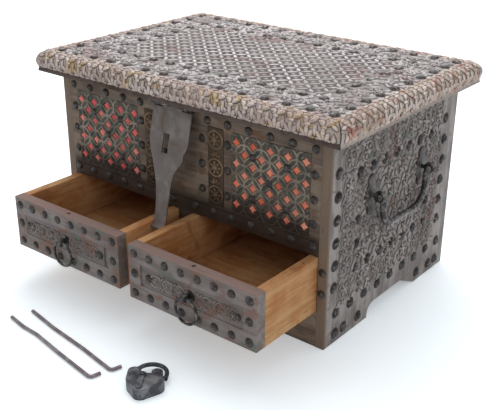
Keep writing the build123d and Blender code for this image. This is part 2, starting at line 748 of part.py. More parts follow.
def hinge_leaf_lower(x):
    """The leaf nailed to the back board, with the two outer knuckles."""
    xs = (x - HINGE_HALF_W, x + HINGE_HALF_W)
    leaf = block(*xs, HALF_D, HALF_D + HINGE_LEAF_T, HINGE_Z - HINGE_LEAF_H, HINGE_Z)
    gap = HINGE_MID_HALF + KNUCKLE_GAP
    notch_zs = (HINGE_Z - HINGE_R - 1, HINGE_Z + 1)
    leaf -= block(x - gap, x + gap, HALF_D - 1, HALF_D + HINGE_LEAF_T + 1, *notch_zs)
    for low, high in knuckle_spans():
        leaf += rod_x(x + low, x + high, HINGE_Y, HINGE_Z, HINGE_R)
    return leaf - rod_x(x - HINGE_HALF_W - 1, x + HINGE_HALF_W + 1, HINGE_Y, HINGE_Z, HINGE_PIN_R)


def hinge_leaf_upper(x):
    """The leaf nailed under the lid's overhang, with the middle knuckle."""
    y0 = HINGE_Y - 1
    xs = (x - HINGE_HALF_W, x + HINGE_HALF_W)
    leaf = block(*xs, y0, y0 + HINGE_LEAF_DEPTH, LID_BOTTOM - HINGE_LEAF_T, LID_BOTTOM)
    for low, high in knuckle_spans():
        notch_y = HINGE_Y + HINGE_R + KNUCKLE_GAP
        low_x = x + low - (1 if low < 0 else KNUCKLE_GAP)
        high_x = x + high + (KNUCKLE_GAP if low < 0 else 1)
        leaf -= block(low_x, high_x, y0 - 1, notch_y, LID_BOTTOM - HINGE_LEAF_T - 1, LID_BOTTOM + 1)
    leaf += rod_x(x - HINGE_MID_HALF, x + HINGE_MID_HALF, HINGE_Y, HINGE_Z, HINGE_R)
    bore = HINGE_PIN_R + RUNNING_CLEARANCE
    return leaf - rod_x(x - HINGE_HALF_W, x + HINGE_HALF_W, HINGE_Y, HINGE_Z, bore)


def hinge_pin(x):
    return rod_x(x - HINGE_HALF_W, x + HINGE_HALF_W, HINGE_Y, HINGE_Z, HINGE_PIN_R)


# ---------------------------------------------------------------- hasp


def hasp_hinge_leaf():
    """The plate under the lid's front overhang, with the hasp's two outer knuckles."""
    x0 = HASP_X - HASP_HALF_W
    x1 = HASP_X + HASP_HALF_W
    y1 = HASP_Y + HASP_KNUCKLE_R
    leaf = block(x0, x1, HASP_Y - HASP_LEAF_DEPTH, y1, LID_BOTTOM - HASP_LEAF_T, LID_BOTTOM)
    gap = HASP_KNUCKLE_HALF + KNUCKLE_GAP
    notch_y = HASP_Y - HASP_KNUCKLE_R - KNUCKLE_GAP
    notch_zs = (LID_BOTTOM - HASP_LEAF_T - 1, LID_BOTTOM + 1)
    leaf -= block(HASP_X - gap, HASP_X + gap, notch_y, y1 + 1, *notch_zs)
    for low, high in ((x0, HASP_X - gap), (HASP_X + gap, x1)):
        leaf += rod_x(low, high, HASP_Y, HASP_Z, HASP_KNUCKLE_R)
    return leaf - rod_x(x0 - 1, x1 + 1, HASP_Y, HASP_Z, HASP_PIN_R)


def hasp_hinge_pin():
    return rod_x(HASP_X - HASP_HALF_W, HASP_X + HASP_HALF_W, HASP_Y, HASP_Z, HASP_PIN_R)


def hasp_outline():
    """The hasp's plate as (x, distance below the pivot): wide above, waisted to a tongue."""
    left = HASP_X - HASP_HALF_W
    right = HASP_X + HASP_HALF_W
    top = HASP_KNUCKLE_R + 1.5
    tongue_l = HASP_TONGUE_X - HASP_TONGUE_HALF
    tongue_r = HASP_TONGUE_X + HASP_TONGUE_HALF
    end = HASP_LENGTH - HASP_LIP_R
    curve = Polyline((left, -top), (right, -top), (right + 1, -52))
    curve += Spline((right + 1, -52), (right - 3, -68), tangents=((0, -1), (-0.4, -1)))
    curve += Polyline((right - 3, -68), (right - 6, -72), (right - 5, -77), (right - 3.5, -80))
    right_edge = ((right - 3.5, -80), (tongue_r + 5, -101), (tongue_r, -130))
    curve += Spline(*right_edge, tangents=((-0.6, -1), (0, -1)))
    curve += Polyline((tongue_r, -130), (tongue_r, -end), (tongue_l, -end), (tongue_l, -165))
    left_edge = ((tongue_l, -165), (tongue_l - 9, -118), (left + 5, -72), (left, -40))
    curve += Spline(*left_edge, tangents=((-0.1, 1), (0, 1)))
    curve += Line((left, -40), (left, -top))
    return make_face(curve)


def hasp_upright():
    """The hasp as it hangs straight down from its pin, engaged over the staple."""
    sheet = Pos(0, HASP_Z) * hasp_outline()
    plate = across_y(sheet, HASP_Y - HASP_T / 2, HASP_Y + HASP_T / 2)
    slot = Pos(SLOT_X, STAPLE_Z) * Rectangle(SLOT_W, SLOT_H)
    plate -= across_y(slot, HASP_Y - HASP_T, HASP_Y + HASP_T)
    k0 = HASP_X - HASP_KNUCKLE_HALF
    k1 = HASP_X + HASP_KNUCKLE_HALF
    plate += block(k0, k1, HASP_Y - HASP_T / 2, HASP_Y + HASP_T / 2, HASP_Z - HASP_KNUCKLE_R - 2, HASP_Z)
    plate += rod_x(k0, k1, HASP_Y, HASP_Z, HASP_KNUCKLE_R)
    plate -= rod_x(k0 - 1, k1 + 1, HASP_Y, HASP_Z, HASP_PIN_R + RUNNING_CLEARANCE)
    return plate + hasp_lip()


def hasp_lip():
    """The finger lip that curls forward at the end of the tongue."""
    z = HASP_Z - HASP_LENGTH + HASP_LIP_R
    centre_y = HASP_Y - HASP_LIP_R
    outer = Pos(centre_y, z) * Circle(HASP_LIP_R + HASP_T / 2)
    inner = Pos(centre_y, z) * Circle(HASP_LIP_R - HASP_T / 2)
    reach = 2 * HASP_LIP_R
    drop = reach * tan(radians(HASP_LIP_ANGLE))
    wedge = Polygon((centre_y, z), (centre_y + reach, z), (centre_y + reach, z - drop), align=None)
    curl = (outer - inner) & wedge
    tongue_l = HASP_TONGUE_X - HASP_TONGUE_HALF
    return across_x(curl, tongue_l, tongue_l + 2 * HASP_TONGUE_HALF)


def hasp():
    """The hasp at rest, leaning out from the staple."""
    pivot = Axis((0, HASP_Y, HASP_Z), (-1, 0, 0))
    return hasp_upright().rotate(pivot, HASP_TILT)


def hasp_staple():
    """The staple that passes through the hasp's slot and takes the padlock."""
    crown_y = FRONT_Y - STAPLE_REACH + STAPLE_WIRE_R
    points = [(SLOT_X, FRONT_Y, STAPLE_Z + STAPLE_HALF_H), (SLOT_X, crown_y, STAPLE_Z + STAPLE_HALF_H)]
    points += [(SLOT_X, crown_y, STAPLE_Z - STAPLE_HALF_H), (SLOT_X, FRONT_Y, STAPLE_Z - STAPLE_HALF_H)]
    path = FilletPolyline(*points, radius=STAPLE_HALF_H - 0.5)
    start = Plane(origin=points[0], z_dir=(0, -1, 0))
    return sweep(start * Circle(STAPLE_WIRE_R), path=path)


# ---------------------------------------------------------------- bail handles


def handle_plate(y):
    """Iron back plate with a lobe above and below, on the right side board."""
    outline = Circle(PLATE_R)
    for reach in (PLATE_LOBE_REACH, -PLATE_LOBE_REACH):
        outline += Pos(0, reach) * Circle(PLATE_LOBE_R)
    return across_x(Pos(y, HANDLE_Z) * outline, HALF_W, HALF_W + PLATE_T)


def handle_eye(y):
    """Forged eye on a post, standing on the plate; its hole runs along Y."""
    hole_r = BAIL_R + BAIL_CLEARANCE
    loop = Rot(90, 0, 0) * Torus(hole_r + HANDLE_EYE_WIRE_R, HANDLE_EYE_WIRE_R)
    loop = Pos(HANDLE_X, y, HANDLE_Z) * loop
    post_end = HANDLE_X - hole_r - HANDLE_EYE_WIRE_R
    post = rod_x(HALF_W + PLATE_T, post_end, y, HANDLE_Z, HANDLE_POST_R)
    return loop + post


def handle_eye_ys():
    return (HANDLE_Y - HANDLE_EYE_HALF, HANDLE_Y + HANDLE_EYE_HALF)


def bail_right():
    """The drop bail, hanging, with its ends turned out through the eyes."""
    low_z = HANDLE_Z - BAIL_DROP
    half_path = [(BAIL_END_HALF, HANDLE_Z), (BAIL_LEG_HALF, HANDLE_Z), (BAIL_LEG_HALF, low_z)]
    points = [(HANDLE_X, HANDLE_Y - u, z) for u, z in half_path]
    points += [(HANDLE_X, HANDLE_Y + u, z) for u, z in reversed(half_path)]
    radii = (BAIL_NECK_R, BAIL_CORNER_R, BAIL_CORNER_R, BAIL_NECK_R)
    path = FilletPolyline(*points, radius=radii)
    start = Plane(origin=points[0], z_dir=(0, 1, 0))
    return sweep(start * Circle(BAIL_R), path=path)


# ---------------------------------------------------------------- drawers
# Each drawer is made for the right-hand opening, pushed fully in, and then pulled out
# by its extension; the left-hand one is the mirror image.


def drawer_front():
    board = block(DRAWER_X0, DRAWER_X1, FRONT_Y, FRONT_Y + DRAWER_FRONT_T, DRAWER_Z0, DRAWER_Z1)
    z0 = DRAWER_MID_Z - FRIEZE_H / 2 - FRIEZE_FIT
    z1 = DRAWER_MID_Z + FRIEZE_H / 2 + FRIEZE_FIT
    x0 = DRAWER_X0 + FRIEZE_RECESS_MARGIN
    x1 = DRAWER_X1 - FRIEZE_RECESS_MARGIN
    board -= block(x0, x1, FRONT_Y - 1, FRONT_Y + FRIEZE_RECESS, z0, z1)
    hole = Pos(DRAWER_MID, FRONT_Y + ROD_SETBACK, DRAWER_Z1 - ROD_HOLE_DEPTH / 2 + 1)
    return board - hole * Cylinder(ROD_HOLE_R, ROD_HOLE_DEPTH + 2)


def drawer_frieze():
    """A carved strip seated in the recess, with a row of flowers along it."""
    x0 = DRAWER_X0 + FRIEZE_RECESS_MARGIN + FRIEZE_INNER_GAP
    x1 = DRAWER_X1 - FRIEZE_RECESS_MARGIN - FRIEZE_FIT
    face_y = FRONT_Y + FRIEZE_RECESS - FRIEZE_T
    half_h = FRIEZE_H / 2
    strip = block(x0, x1, face_y, FRONT_Y + FRIEZE_RECESS, DRAWER_MID_Z - half_h, DRAWER_MID_Z + half_h)
    strip -= Pos(DRAWER_MID, face_y, DRAWER_MID_Z) * Rot(90, 0, 0) * Cylinder(ESCUTCHEON_R + FRIEZE_FIT, 20)
    flower = rosette(FRIEZE_ROSETTE_R, ROSETTE_H)
    count = FRIEZE_ROSETTES // 2
    first = DRAWER_MID + ESCUTCHEON_R + FRIEZE_ROSETTE_R + 3
    last = 2 * DRAWER_MID - (x0 + 2 * NAIL_R + FRIEZE_ROSETTE_R + 6)
    for x in spread(first, last, count):
        for place_x in (x, 2 * DRAWER_MID - x):
            place = Plane(origin=(place_x, face_y, DRAWER_MID_Z), x_dir=(1, 0, 0), z_dir=(0, -1, 0))
            strip += place.location * flower
    return strip


def drawer_side(inner):
    """A side board behind the front, nailed to its back face."""
    x0 = DRAWER_X0 if inner else DRAWER_X1 - DRAWER_SIDE_T
    y0 = FRONT_Y + DRAWER_FRONT_T
    y1 = FRONT_Y + DRAWER_LENGTH
    return block(x0, x0 + DRAWER_SIDE_T, y0, y1, DRAWER_Z0 + DRAWER_BOTTOM_T, DRAWER_Z1)


def drawer_back():
    x0 = DRAWER_X0 + DRAWER_SIDE_T
    x1 = DRAWER_X1 - DRAWER_SIDE_T
    y1 = FRONT_Y + DRAWER_LENGTH
    return block(x0, x1, y1 - DRAWER_BACK_T, y1, DRAWER_Z0 + DRAWER_BOTTOM_T, DRAWER_Z1)


def drawer_bottom():
    """The bottom board, nailed up under the sides and the back."""
    y0 = FRONT_Y + DRAWER_FRONT_T
    return block(DRAWER_X0, DRAWER_X1, y0, FRONT_Y + DRAWER_LENGTH, DRAWER_Z0, DRAWER_Z0 + DRAWER_BOTTOM_T)


def drawer_nails():
    end_x = (DRAWER_X0 + DRAWER_NAIL_EDGE, DRAWER_X1 - DRAWER_NAIL_EDGE)
    row_zs = (DRAWER_Z0 + DRAWER_NAIL_EDGE, DRAWER_Z1 - DRAWER_NAIL_EDGE)
    rows = [(x, z) for x in spread(*end_x, 8) for z in row_zs]
    ends = [(x, DRAWER_MID_Z) for x in end_x]
    heads = front_nails_at(rows + ends, FRONT_Y)
    x0 = DRAWER_X0 + FRIEZE_RECESS_MARGIN + FRIEZE_INNER_GAP + NAIL_R + 3
    x1 = DRAWER_X1 - FRIEZE_RECESS_MARGIN - FRIEZE_FIT - NAIL_R - 3
    on_frieze = [(x0, DRAWER_MID_Z), (x1, DRAWER_MID_Z)]
    heads += front_nails_at(on_frieze, FRONT_Y + FRIEZE_RECESS - FRIEZE_T)
    return group(heads)


def ring_eye():
    """Escutcheon and eye of a ring pull; the eye's hole runs along X."""
    base_y = FRONT_Y + FRIEZE_RECESS
    disc_t = FRIEZE_RECESS + ESCUTCHEON_T
    disc = Rot(90, 0, 0) * Cylinder(ESCUTCHEON_R, disc_t)
    disc = Pos(DRAWER_MID, base_y - disc_t / 2, DRAWER_MID_Z) * disc
    loop = Pos(DRAWER_MID, FRONT_Y - EYE_REACH, DRAWER_MID_Z) * Rot(0, 90, 0) * Torus(EYE_R, EYE_WIRE_R)
    return disc + loop


def ring_pivot_z():
    """Height of the ring's wire where it hangs in the eye."""
    return DRAWER_MID_Z - (EYE_R - EYE_WIRE_R - RING_WIRE_R) + HANG_GAP


def ring():
    """The ring pull, hanging straight down through its eye."""
    centre = Pos(DRAWER_MID, FRONT_Y - EYE_REACH, ring_pivot_z() - RING_R)
    return centre * Rot(90, 0, 0) * Torus(RING_R, RING_WIRE_R)


def drawer_pieces():
    return {
        "front": drawer_front(),
        "frieze": drawer_frieze(),
        "side_inner": drawer_side(inner=True),
        "side_outer": drawer_side(inner=False),
        "back": drawer_back(),
        "bottom": drawer_bottom(),
        "nails": drawer_nails(),
        "ring_eye": ring_eye(),
        "ring": ring(),
    }


# ---------------------------------------------------------------- drawer rods


def rod_points(x, y, turn, waves):
    """Places along one rod: its straight run with small sideways bows, then its bent tail."""
    along = Vector(1, 0, 0).rotate(Axis.Z, turn)
    aside = Vector(0, 1, 0).rotate(Axis.Z, turn)
    start = Vector(x, y, 0)
    points = [start + along * (share * ROD_LENGTH) + aside * bow for share, bow in waves]
    tail = Vector(0, 1, 0).rotate(Axis.Z, turn - 5)
    points.append(points[-1] + tail * ROD_TAIL)
    return [(point.X, point.Y) for point in points]


def drawer_rod(x, y, turn, waves):
    """A rod bent over at one end, lying on the floor."""
    points = rod_points(x, y, turn, waves)
    lifted = [(px, py, ROD_R) for px, py in points]
    soft = ROD_LENGTH / 3
    radii = [soft] * (len(points) - 3) + [ROD_BEND_R]
    path = FilletPolyline(*lifted, radius=radii)
    heading = Vector(*lifted[1]) - Vector(*lifted[0])
    start = Plane(origin=lifted[0], z_dir=heading)
    return sweep(start * Circle(ROD_R), path=path)


# ---------------------------------------------------------------- padlock
# Outlines are in the padlock's own (u, v): u along the ears, v towards the shackle's crown.


def lock_plane(z):
    turn = Vector(1, 0, 0).rotate(Axis.Z, LOCK_TURN)
    return Plane(origin=(LOCK_X, LOCK_Y, z), x_dir=turn, z_dir=(0, 0, 1))


def disc_at(u, v, radius):
    return Pos(u, v) * Circle(radius)


def round_hull(*discs):
    """The shape that a band stretched round the discs would have."""
    return make_hull([edge for disc in discs for edge in disc.edges()])


def lock_outline():
    """A heart-like body with two ears."""
    left = disc_at(LOCK_SHOULDER_LEFT_U, LOCK_SHOULDER_V, LOCK_SHOULDER_LEFT_R)
    right = disc_at(LOCK_SHOULDER_RIGHT_U, LOCK_SHOULDER_V, LOCK_SHOULDER_RIGHT_R)
    foot = disc_at(0, LOCK_FOOT_V, LOCK_FOOT_R)
    ear = disc_at(SHACKLE_PIVOT_U, 0, LOCK_EAR_R)
    catch = disc_at(LOCK_CATCH_U, 0, LOCK_CATCH_R)
    neck_h = -LOCK_SHOULDER_V - LOCK_CATCH_R / 2
    neck = Pos(LOCK_CATCH_U, -neck_h / 2) * Rectangle(1.6 * LOCK_CATCH_R, neck_h)
    return round_hull(left, right, foot) + round_hull(ear, left) + catch + neck


def padlock_body():
    body = extrude(lock_plane(0) * lock_outline(), amount=LOCK_T)
    slot_h = 2 * SHACKLE_R + 2 * LOCK_SLOT_CLEARANCE
    pocket = disc_at(SHACKLE_PIVOT_U, 0, LOCK_EAR_R + 2)
    body -= extrude(lock_plane((LOCK_T - slot_h) / 2) * pocket, amount=slot_h)
    pin_hole = disc_at(SHACKLE_PIVOT_U, 0, LOCK_PIN_R)
    return body - extrude(lock_plane(-1) * pin_hole, amount=LOCK_T + 2)


def padlock_shackle():
    mid = LOCK_T / 2
    arch_r = (SHACKLE_LEG_U - SHACKLE_PIVOT_U) / 2
    crown_u = SHACKLE_PIVOT_U + arch_r
    root_v = SHACKLE_EYE_R - 3
    path = Line((SHACKLE_PIVOT_U, root_v), (SHACKLE_PIVOT_U, SHACKLE_STRAIGHT))
    crown = (crown_u, SHACKLE_STRAIGHT + arch_r)
    path += ThreePointArc((SHACKLE_PIVOT_U, SHACKLE_STRAIGHT), crown, (SHACKLE_LEG_U, SHACKLE_STRAIGHT))
    path += Line((SHACKLE_LEG_U, SHACKLE_STRAIGHT), (SHACKLE_LEG_U, SHACKLE_TIP_V))
    start = Plane(origin=(SHACKLE_PIVOT_U, root_v, 0), z_dir=(0, 1, 0))
    bow = lock_plane(mid).location * sweep(start * Circle(SHACKLE_R), path=path)
    eye = disc_at(SHACKLE_PIVOT_U, 0, SHACKLE_EYE_R)
    bow += extrude(lock_plane(mid - SHACKLE_EYE_T / 2) * eye, amount=SHACKLE_EYE_T)
    bore = disc_at(SHACKLE_PIVOT_U, 0, LOCK_PIN_R + RUNNING_CLEARANCE)
    return bow - extrude(lock_plane(0) * bore, amount=LOCK_T)


def padlock_cover():
    """The strap that swings aside from the keyhole."""
    u, v = COVER_PIVOT
    strap = disc_at(u, v, COVER_HALF_W + 1) + disc_at(u, v - COVER_LENGTH + COVER_HALF_W, COVER_HALF_W)
    reach = COVER_LENGTH - COVER_HALF_W
    strap += Pos(u, v - reach / 2) * Rectangle(2 * COVER_HALF_W - 1, reach)
    strap -= disc_at(u, v, LOCK_PIN_R + RUNNING_CLEARANCE)
    return extrude(lock_plane(LOCK_T + LID_SEAT_GAP) * strap, amount=COVER_T)


def padlock_rivets():
    """The shackle's pin and the cover's headed rivet."""
    pin = extrude(lock_plane(0) * disc_at(SHACKLE_PIVOT_U, 0, LOCK_PIN_R), amount=LOCK_T + 0.6)
    u, v = COVER_PIVOT
    shank_h = COVER_T + 2 * LID_SEAT_GAP
    shank = extrude(lock_plane(LOCK_T) * disc_at(u, v, LOCK_PIN_R), amount=shank_h)
    head = extrude(lock_plane(LOCK_T + shank_h) * disc_at(u, v, 2 * LOCK_PIN_R), amount=1.2)
    return group([pin, shank + head])


# ---------------------------------------------------------------- assembly


def carcass_nodes():
    right = side_board_right()
    lattice = lattice_right()
    backing = lattice_backing_right()
    strip = carved_strip_right()
    bail = bail_right()
    plates = [handle_plate(y) for y in handle_eye_ys()]
    eyes = [handle_eye(y) for y in handle_eye_ys()]
    return {
        "side_board_right": right,
        "side_board_left": mirrored(right),
        "front_board": front_board(),
        "back_board": back_board(),
        "front_apron": front_apron(),
        "drawer_case_floor": drawer_case_floor(),
        "drawer_divider": drawer_divider(),
        "chest_floor": chest_floor(),
        "lattice_right": lattice,
        "lattice_left": mirrored(lattice),
        "lattice_backings": group([backing, mirrored(backing)]),
        "carved_strips": group([strip, mirrored(strip)]),
        "nails_front": front_nails(),
        "nails_side_right": nails_right(),
        "nails_side_left": nails_left(),
        "hasp_staple": hasp_staple(),
        "handle_plates": group(plates + [mirrored(plate) for plate in plates]),
        "handle_eyes": group(eyes + [mirrored(eye) for eye in eyes]),
        "bail_right": bail,
        "bail_left": mirrored(bail),
        "hinge_leaves_lower": group([hinge_leaf_lower(x) for x in (-HINGE_X, HINGE_X)]),
        "hinge_pins": group([hinge_pin(x) for x in (-HINGE_X, HINGE_X)]),
    }


def lid_nodes():
    front_plank, back_plank = lid_planks()
    right = lid_moulding_right()
    return {
        "lid_plank_front": front_plank,
        "lid_plank_back": back_plank,
        "lid_moulding_front": lid_moulding_front(),
        "lid_moulding_back": lid_moulding_back(),
        "lid_moulding_right": right,
        "lid_moulding_left": mirrored(right),
        "nails_lid": lid_nails(),
        "hinge_leaves_upper": group([hinge_leaf_upper(x) for x in (-HINGE_X, HINGE_X)]),
        "hasp_hinge_leaf": hasp_hinge_leaf(),
        "hasp_hinge_pin": hasp_hinge_pin(),
        "hasp": hasp(),
    }


def drawer_nodes():
    nodes = {}
    for piece, shape in drawer_pieces().items():
        nodes["drawer_right_" + piece] = Pos(0, -DRAWER_EXTENSION_RIGHT, 0) * shape
        nodes["drawer_left_" + piece] = Pos(0, -DRAWER_EXTENSION_LEFT, 0) * mirrored(shape)
    return nodes


def loose_nodes():
    bowed = ((0, 0), (0.17, -0.4 * ROD_BOW), (0.32, ROD_BOW), (0.62, 0.25 * ROD_BOW), (1, 0))
    nearly_straight = ((0, 0), (0.3, -0.6 * ROD_BOW), (0.66, 0.4 * ROD_BOW), (1, 0))
    return {
        "drawer_rod_left": drawer_rod(ROD_LEFT_X, ROD_LEFT_Y, ROD_LEFT_TURN, bowed),
        "drawer_rod_right": drawer_rod(ROD_RIGHT_X, ROD_RIGHT_Y, ROD_RIGHT_TURN, nearly_straight),
        "padlock_body": padlock_body(),
        "padlock_shackle": padlock_shackle(),
        "padlock_cover": padlock_cover(),
        "padlock_rivets": padlock_rivets(),
    }


for nodes in (carcass_nodes(), lid_nodes(), drawer_nodes(), loose_nodes()):
    for name, shape in nodes.items():
        export_step(shape, f"parts/{name}.step")
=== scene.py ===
"""A carved and nail-studded dowry chest, dressed over its construction model.

Front is towards -Y and up is +Z. Blender works in metres, while sizes, places and motifs below are in
millimetres: MM turns them into metres where a piece's mesh is made or cut.
"""

import math
import random

import bmesh
import bpy
import numpy as np
from mathutils import Matrix, Vector


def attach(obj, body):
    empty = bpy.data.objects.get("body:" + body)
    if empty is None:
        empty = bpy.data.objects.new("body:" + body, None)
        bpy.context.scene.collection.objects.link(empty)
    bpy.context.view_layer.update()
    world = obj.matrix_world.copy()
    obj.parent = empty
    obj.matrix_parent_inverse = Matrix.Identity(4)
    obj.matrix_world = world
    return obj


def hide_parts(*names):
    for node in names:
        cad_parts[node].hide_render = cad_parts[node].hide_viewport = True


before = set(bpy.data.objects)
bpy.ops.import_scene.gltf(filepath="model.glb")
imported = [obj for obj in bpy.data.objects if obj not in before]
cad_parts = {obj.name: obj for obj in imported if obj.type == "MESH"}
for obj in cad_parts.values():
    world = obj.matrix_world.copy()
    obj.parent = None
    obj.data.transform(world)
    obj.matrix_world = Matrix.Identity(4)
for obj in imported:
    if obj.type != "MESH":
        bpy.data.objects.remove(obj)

bl_info = {
    "name": "Dowry Chest",
    "version": (1, 0, 0),
    "blender": (4, 5, 0),
    "location": "View3D > Sidebar > Chest",
    "description": "Carved boards, forged iron and studio for a nail-studded dowry chest",
    "category": "Object",
}

MM = 0.001
FLAT = Matrix.Identity(4)
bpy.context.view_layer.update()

FRONT_FACE, SIDE_FACE = 190, 280
LID_TOP, LID_T, LID_MID_Y = 373.3, 34, -6.65
LID_HALF_X, LID_FRONT, LID_BACK = 313, -222, 208.7


def srgb(red, green, blue):
    """A colour written as 0-255 screen values, as Blender's own linear values."""

    def linear(value):
        value /= 255
        return value / 12.92 if value <= 0.04045 else ((value + 0.055) / 1.055) ** 2.4

    return (linear(red), linear(green), linear(blue), 1.0)


def colour(name, text, *value):
    return bpy.props.FloatVectorProperty(
        name=name, description=text, subtype="COLOR", size=4, min=0, max=1, default=srgb(*value)
    )


def length(name, text, value):
    return bpy.props.FloatProperty(name=name, description=text, default=value * MM, min=0, unit="LENGTH")


class ChestColours(bpy.types.PropertyGroup):
    # Each board's hollow colour is grime and painted shade in the carving's hollows.
    lid_pale: colour("Lid crests", "Rubbed high points of the lid's carving", 212, 207, 207)
    lid_mid: colour("Lid wood", "Weathered wood of the lid", 169, 160, 159)
    lid_dark: colour("Lid hollows", "Dirt held in the lid's carving", 72, 64, 62)
    moulding_pale: colour("Moulding crests", "Rubbed high points of the edge mouldings", 217, 204, 196)
    moulding_mid: colour("Moulding wood", "Weathered wood of the edge mouldings", 186, 166, 156)
    moulding_dark: colour("Moulding hollows", "Dirt held in the moulding's carving", 72, 54, 46)
    side_pale: colour("Side crests", "Rubbed high points of the side boards", 172, 164, 160)
    side_mid: colour("Side wood", "Weathered wood of the side boards", 127, 118, 114)
    side_dark: colour("Side hollows", "Dirt held in the side carving", 62, 56, 53)
    front_pale: colour("Front crests", "Rubbed high points of the front", 142, 124, 108)
    front_mid: colour("Front wood", "Smoked wood of the front", 98, 82, 72)
    front_dark: colour("Front hollows", "Dirt held in the front's carving", 34, 24, 17)
    drawer_pale: colour("Drawer front crests", "Rubbed drawer front", 146, 137, 134)
    drawer_mid: colour("Drawer front wood", "Painted and worn drawer front", 114, 101, 94)
    drawer_dark: colour("Drawer front hollows", "Dirt in the drawer front", 40, 32, 28)
    honey: colour("Inner wood", "Unpainted wood of the drawers", 182, 120, 68)
    cloth: colour("Lattice backing", "Dyed cloth behind the lattices", 255, 122, 90)
    iron: colour("Forged iron", "Blackened nails and handles", 50, 48, 48)
    hasp: colour("Hasp iron", "Rubbed sheet iron of the hasp", 132, 124, 120)


class ChestSizes(bpy.types.PropertyGroup):
    edge_wear: length("Edge wear", "Rounding of the boards' worn edges", 1.2)
    carving_height: length("Carving height", "How far the lid's petals stand above their hollows", 2.0)
    nail_radius: length("Nail radius", "Radius of a forged nail head", 7.0)
    nail_height: length("Nail height", "Height of a forged nail head", 4.4)


class ChestStudio(bpy.types.PropertyGroup):
    floor: colour("Floor", "Pale studio floor", 243, 250, 255)
    glow: bpy.props.FloatProperty(name="Floor glow", description="Light that the camera sees", default=0.35)
    key: bpy.props.FloatProperty(name="Overhead light", description="Softbox above", default=54, unit="POWER")
    side: bpy.props.FloatProperty(name="Side light", description="Softbox at right", default=5, unit="POWER")
    sky: bpy.props.FloatProperty(name="Room light", description="Even light of the room", default=0.55)


def tint(key):
    return tuple(getattr(bpy.context.scene.chest_colours, key))


def tones(board):
    """The pale, middle and dark colours of one kind of board."""
    return [tint(f"{board}_{tone}") for tone in ("pale", "mid", "dark")]


def paints(*rows):
    return [srgb(*row) for row in rows]


def size_of(key):
    """A size that the user can set, in millimetres."""
    return getattr(bpy.context.scene.chest_sizes, key) / MM


# ---------------------------------------------------------------- selection and mesh helpers


def deselect():
    if bpy.context.object and bpy.context.object.mode != "OBJECT":
        bpy.ops.object.mode_set(mode="OBJECT")
    bpy.ops.object.select_all(action="DESELECT")


def pick(piece):
    deselect()
    piece.select_set(True)
    bpy.context.view_layer.objects.active = piece


def select_all():
    bpy.ops.mesh.select_all(action="SELECT")


def edit():
    """Opens the active piece in edit mode with everything selected."""
    bpy.ops.object.mode_set(mode="EDIT")
    select_all()


def primitive(kind, **settings):
    """Adds a primitive and opens it."""
    deselect()
    getattr(bpy.ops.mesh, f"primitive_{kind}_add")(**settings)
    edit()


def done():
    bpy.ops.object.mode_set(mode="OBJECT")
    return bpy.context.object


def choose(kind, test):
    """Selects, in edit mode, exactly the vertices, edges or faces that pass the test."""
    mesh = bmesh.from_edit_mesh(bpy.context.object.data)
    bpy.ops.mesh.select_mode(type={"verts": "VERT", "edges": "EDGE", "faces": "FACE"}[kind])
    for sequence in (mesh.verts, mesh.edges, mesh.faces):
        for element in sequence:
            element.select = False
    for element in getattr(mesh, kind):
        if test(element):
            element.select_set(True)
    mesh.select_flush_mode()
    bmesh.update_edit_mesh(bpy.context.object.data)


def choose_open_edges():
    choose("edges", lambda e: e.is_boundary)


def close_open_edges():
    choose_open_edges()
    bpy.ops.mesh.edge_face_add()


def face_outwards():
    select_all()
    bpy.ops.mesh.normals_make_consistent(inside=False)


def extrude(move):
    bpy.ops.mesh.extrude_region_move(TRANSFORM_OT_translate={"value": tuple(move)})


def resize(x, y, z, middle=None):
    """Scales what is selected, about its own middle or a given one."""
    about = {} if middle is None else {"center_override": middle}
    bpy.ops.transform.resize(value=(x, y, z), **about)


def shift(x, y, z):
    bpy.ops.transform.translate(value=(x, y, z))


def cut(point, normal, away=True):
    """Cuts all of the mesh by a plane through a point in millimetres, and takes away what lies beyond it."""
    select_all()
    bpy.ops.mesh.bisect(plane_co=Vector(point) * MM, plane_no=normal, clear_outer=away, use_fill=away)


def soften(piece, angle=32):
    pick(piece)
    bpy.ops.object.shade_smooth_by_angle(angle=math.radians(angle))
    return piece


def wear_edges(piece, width, segments=2, angle=38):
    """Rounds the edges that are sharper than the angle."""
    pick(piece)
    bevel = piece.modifiers.new("Wear", "BEVEL")
    bevel.width = width * MM
    bevel.segments = segments
    bevel.limit_method = "ANGLE"
    bevel.angle_limit = math.radians(angle)
    bpy.ops.object.modifier_apply(modifier=bevel.name)
    return soften(piece)


def plain_copy(name, nodes):
    """The named CAD solids as one piece of whole faces."""
    deselect()
    for node in nodes:
        copy = bpy.data.objects.new(name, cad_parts[node].data.copy())
        bpy.context.scene.collection.objects.link(copy)
        copy.select_set(True)
        bpy.context.view_layer.objects.active = copy
    if len(nodes) > 1:
        bpy.ops.object.join()
    piece = bpy.context.object
    piece.data.materials.clear()
    bpy.ops.mesh.customdata_custom_splitnormals_clear()
    edit()
    bpy.ops.mesh.remove_doubles(threshold=0.002 * MM)
    bpy.ops.mesh.dissolve_limited(angle_limit=math.radians(1))
    return done()


def darken_for_dirt_and_shade(piece, above, depth):
    """Lets the material darken what lies above a height, as grime and painted shade on the ground of carving.
    """
    heights = np.array([v.co.z for v in piece.data.vertices])
    values = np.where(heights > above * MM, depth, 0).astype(np.float32)
    piece.data.attributes.new("recess", "FLOAT", "POINT").data.foreach_set("value", values)


def paint(finish, *nodes):
    """Gives CAD nodes that stay as they are their material."""
    for node in nodes:
        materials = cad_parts[node].data.materials
        materials.clear()
        materials.append(finish)


def finish_piece(piece, body, finish, nodes=()):
    """Gives a piece its material and its body, and hides the CAD nodes it stands for."""
    piece.data.materials.clear()
    piece.data.materials.append(finish)
    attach(piece, body)
    if nodes:
        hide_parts(*nodes)


